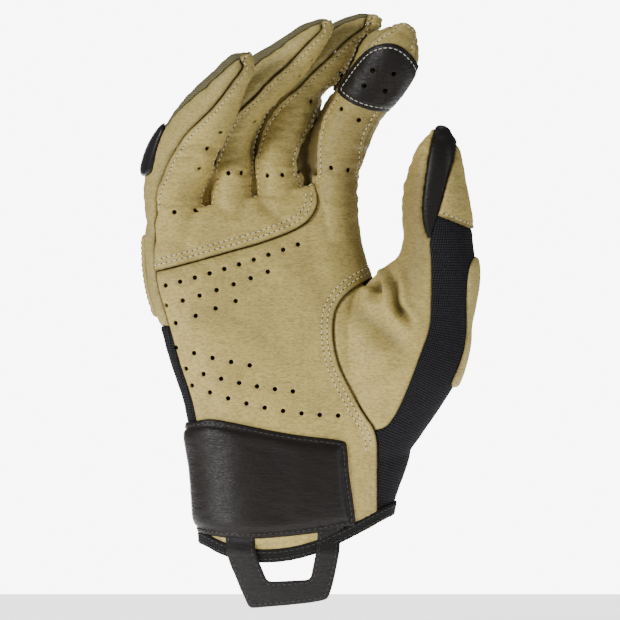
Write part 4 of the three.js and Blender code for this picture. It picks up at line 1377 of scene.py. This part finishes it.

# %% [markdown]
# Leather is a soft colour with slow changes, a fine grain of short level wrinkles, and darkening
# in the seams, folds and slots that is partly dirt and partly painted shade. The distance from a
# seam is on the mesh, so the shader knows where it is.

# %% Materials
def shader(name, colour, roughness):
    look = bpy.data.materials.new(name)
    look.use_nodes = True
    nodes, links = look.node_tree.nodes, look.node_tree.links
    main = nodes["Principled BSDF"]
    main.inputs["Base Color"].default_value = (*colour, 1)
    main.inputs["Roughness"].default_value = roughness
    return look, nodes, links, main


class Wiring:
    """Short words for a material's nodes."""

    def __init__(self, nodes, links):
        self.nodes, self.links = nodes, links

    def put(self, socket, value):
        if hasattr(value, "is_linked") or hasattr(value, "links"):
            self.links.new(value, socket)
        elif value is not None:
            socket.default_value = value

    def place(self, stretch):
        spot = self.nodes.new("ShaderNodeTexCoord").outputs["Object"]
        node = self.nodes.new("ShaderNodeMapping")
        self.links.new(spot, node.inputs["Vector"])
        node.inputs["Scale"].default_value = stretch
        return node.outputs["Vector"]

    def noise(self, vector, scale, detail=2.0, rough=0.5):
        node = self.nodes.new("ShaderNodeTexNoise")
        self.links.new(vector, node.inputs["Vector"])
        node.inputs["Scale"].default_value = scale
        node.inputs["Detail"].default_value = detail
        node.inputs["Roughness"].default_value = rough
        return node.outputs["Fac"]

    def attribute(self, name):
        node = self.nodes.new("ShaderNodeAttribute")
        node.attribute_name = name
        return node.outputs["Fac"]

    def math(self, what, a, b=None, clamp=False):
        node = self.nodes.new("ShaderNodeMath")
        node.operation = what
        node.use_clamp = clamp
        self.put(node.inputs[0], a)
        if b is not None:
            self.put(node.inputs[1], b)
        return node.outputs[0]

    def ramp(self, value, low, high, out_low=0.0, out_high=1.0):
        node = self.nodes.new("ShaderNodeMapRange")
        node.interpolation_type = "SMOOTHSTEP"
        self.links.new(value, node.inputs["Value"])
        ends = {"From Min": low, "From Max": high, "To Min": out_low, "To Max": out_high}
        for key, end in ends.items():
            node.inputs[key].default_value = end
        return node.outputs["Result"]

    def mix(self, share, a, b):
        node = self.nodes.new("ShaderNodeMix")
        node.data_type = "RGBA"
        self.put(node.inputs["Factor"], share)
        self.put(node.inputs["A"], (*a, 1) if isinstance(a, tuple) else a)
        self.put(node.inputs["B"], (*b, 1) if isinstance(b, tuple) else b)
        return node.outputs["Result"]

    def bump(self, height, distance, strength, under=None):
        node = self.nodes.new("ShaderNodeBump")
        node.inputs["Distance"].default_value = distance * MM
        node.inputs["Strength"].default_value = strength
        self.links.new(height, node.inputs["Height"])
        if under is not None:
            self.links.new(under, node.inputs["Normal"])
        return node.outputs["Normal"]


def leather(name, light, dark, roughness, grain=0.5, sheen=0.3, with_dirt_and_shade=True):
    look, nodes, links, main = shader(name, light, roughness)
    w = Wiring(nodes, links)
    cloud = w.noise(w.place((1, 1, 1)), 55, 3.0)
    colour = w.mix(w.ramp(cloud, 0.35, 0.7), light, tuple(0.84 * c for c in light))
    fine = w.noise(w.place((1, 1, 2.6)), 620, 3.0, 0.6)
    pores = w.noise(w.place((1, 1, 1.6)), 1500, 2.0, 0.6)
    colour = w.mix(w.ramp(fine, 0.42, 0.62, 0.0, 0.35), colour, dark)
    lines = w.noise(w.place((1, 1, 4.5)), 230, 3.0, 0.6)
    colour = w.mix(w.ramp(lines, 0.5, 0.68, 0.0, 0.4 * grain), colour, dark)
    # Darkening next to the seams and by the crease, slot and hand attribute: partly dirt and partly
    # painted shade
    if with_dirt_and_shade:
        seam_dirt_and_shade = w.ramp(w.attribute("seam"), 1.1, 0.0, 0.0, 0.85)
        dirt_and_shade_share = w.math("MULTIPLY", w.attribute("fold"), 0.95)
        dirt_and_shade_mix = w.math("MAXIMUM", seam_dirt_and_shade, dirt_and_shade_share)
        colour = w.mix(dirt_and_shade_mix, colour, dark)
    links.new(colour, main.inputs["Base Color"])
    links.new(w.ramp(fine, 0.3, 0.7, roughness - 0.06, roughness + 0.1), main.inputs["Roughness"])
    normal_ = w.bump(w.math("SUBTRACT", 1.0, lines), 0.8, 0.6 * grain)
    normal_ = w.bump(fine, 0.28, 0.7 * grain, normal_)
    normal_ = w.bump(pores, 0.1, 0.5 * grain, normal_)
    links.new(normal_, main.inputs["Normal"])
    main.inputs["Specular IOR Level"].default_value = sheen
    return look


def weave(name, colour, thread, pitch, along=None, twill=False):
    look, nodes, links, main = shader(name, colour, 0.85)
    w = Wiring(nodes, links)
    if along:
        u, v = (w.attribute(key) for key in along)
        scale = math.pi / pitch
    else:
        spot = nodes.new("ShaderNodeTexCoord").outputs["Object"]
        split = nodes.new("ShaderNodeSeparateXYZ")
        links.new(spot, split.inputs[0])
        u, v = split.outputs["X"], split.outputs["Z"]
        scale = math.pi / (pitch * MM)
    if twill:
        u = w.math("ADD", u, w.math("MULTIPLY", v, 0.55))
    wave = lambda value: w.math("ABSOLUTE", w.math("SINE", w.math("MULTIPLY", value, scale)))
    pebble = w.math("MULTIPLY", wave(u), wave(v))
    fuzz = w.noise(w.place((1, 1, 1)), 900, 2.0)
    shade = w.ramp(pebble, 0.1, 0.85)
    tone = w.mix(shade, colour, thread)
    tone = w.mix(w.ramp(fuzz, 0.35, 0.75, 0.0, 0.4), tone, colour)
    links.new(tone, main.inputs["Base Color"])
    normal_ = w.bump(pebble, 0.35, 0.9)
    links.new(w.bump(fuzz, 0.1, 0.4, normal_), main.inputs["Normal"])
    main.inputs["Specular IOR Level"].default_value = 0.15
    return look


def cotton(name, colour, roughness=0.7):
    look, nodes, links, main = shader(name, colour, roughness)
    w = Wiring(nodes, links)
    strands = w.noise(w.place((1, 1, 1)), 2600, 1.0)
    shade = w.ramp(strands, 0.4, 0.6, 0.0, 0.4)
    tone = w.mix(shade, colour, tuple(0.5 * c for c in colour))
    links.new(tone, main.inputs["Base Color"])
    return look


TAN, DARK_TAN = (0.52, 0.405, 0.125), (0.1, 0.07, 0.02)
PURE, BLACK, DEEP = (0.004, 0.004, 0.004), (0.004, 0.0035, 0.003), (0.007, 0.006, 0.006)
INK = (0.004, 0.004, 0.005)
looks = {
    "tan": leather("tan_leather", TAN, DARK_TAN, 0.55),
    "guard": leather("guard_leather", (0.47, 0.375, 0.13), DARK_TAN, 0.55, 0.35, 0.3, False),
    "side": leather("side_leather", (0.42, 0.335, 0.11), DARK_TAN, 0.5, 0.4),
    "black": leather("black_leather", (0.012, 0.0095, 0.008), BLACK, 0.42, 0.6, 0.22, False),
    "pad": leather("black_smooth_leather", (0.012, 0.011, 0.011), PURE, 0.32, 0.2, 0.25, False),
    "strip": leather("black_strip_leather", (0.012, 0.01, 0.009), PURE, 0.4, 0.4, 0.2),
    "tab": leather("black_tab_leather", (0.018, 0.016, 0.015), DEEP, 0.6, 0.8, 0.2, False),
    "stretch": weave(
        "stretch_weave", INK, (0.028, 0.027, 0.032), 1.1, ("thread_round", "thread_along")
    ),
    "cuff": weave("cuff_weave", INK, (0.025, 0.024, 0.028), 1.1, ("thread_wrap", "height")),
    "olive": weave("olive_weave", (0.10, 0.09, 0.045), (0.26, 0.235, 0.125), 0.8, None, True),
    "tape": weave("binding_tape", (0.006, 0.006, 0.006), (0.03, 0.028, 0.027), 0.7),
}
WEAR = {
    "black": ("wrist_strap", "touch_tip_pad"),
    "pad": ("pinky_knuckle_pad",),
    "guard": ("thumb_guard", "knuckle_guard"),
    "strip": ("thumb_strip",),
    "tab": ("pull_tab",),
    "stretch": ("thumb_stretch_panel",),
    "cuff": ("back_cuff_panel",),
    "tape": ("cuff_binding",),
    "olive": ("back_panel",),
    "side": SIDES,
}
for name, piece in pieces.items():
    look = next((look for look, worn_by in WEAR.items() if name in worn_by), "tan")
    piece.data.materials.append(looks[look])
    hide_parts(name)
    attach(piece, "root")
threads_of = (
    (TAN_THREAD, cotton("tan_thread", (0.78, 0.7, 0.48)), (0.035, 0.027, 0.012)),
    (PALE_THREAD, cotton("pale_thread", (0.75, 0.7, 0.62)), (0.01, 0.01, 0.01)),
    (BLACK_THREAD, cotton("black_thread", (0.035, 0.033, 0.032), 0.5), (0.004, 0.004, 0.004)),
)
# The dark colour given for each kind of thread is painted shade for its needle holes
for rows, look, dark in threads_of:
    hole_shade_look, *_ = shader(look.name + "_hole", dark, 0.9)
    for thread, needle in rows:
        thread.data.materials.append(look)
        needle.data.materials.append(hole_shade_look)
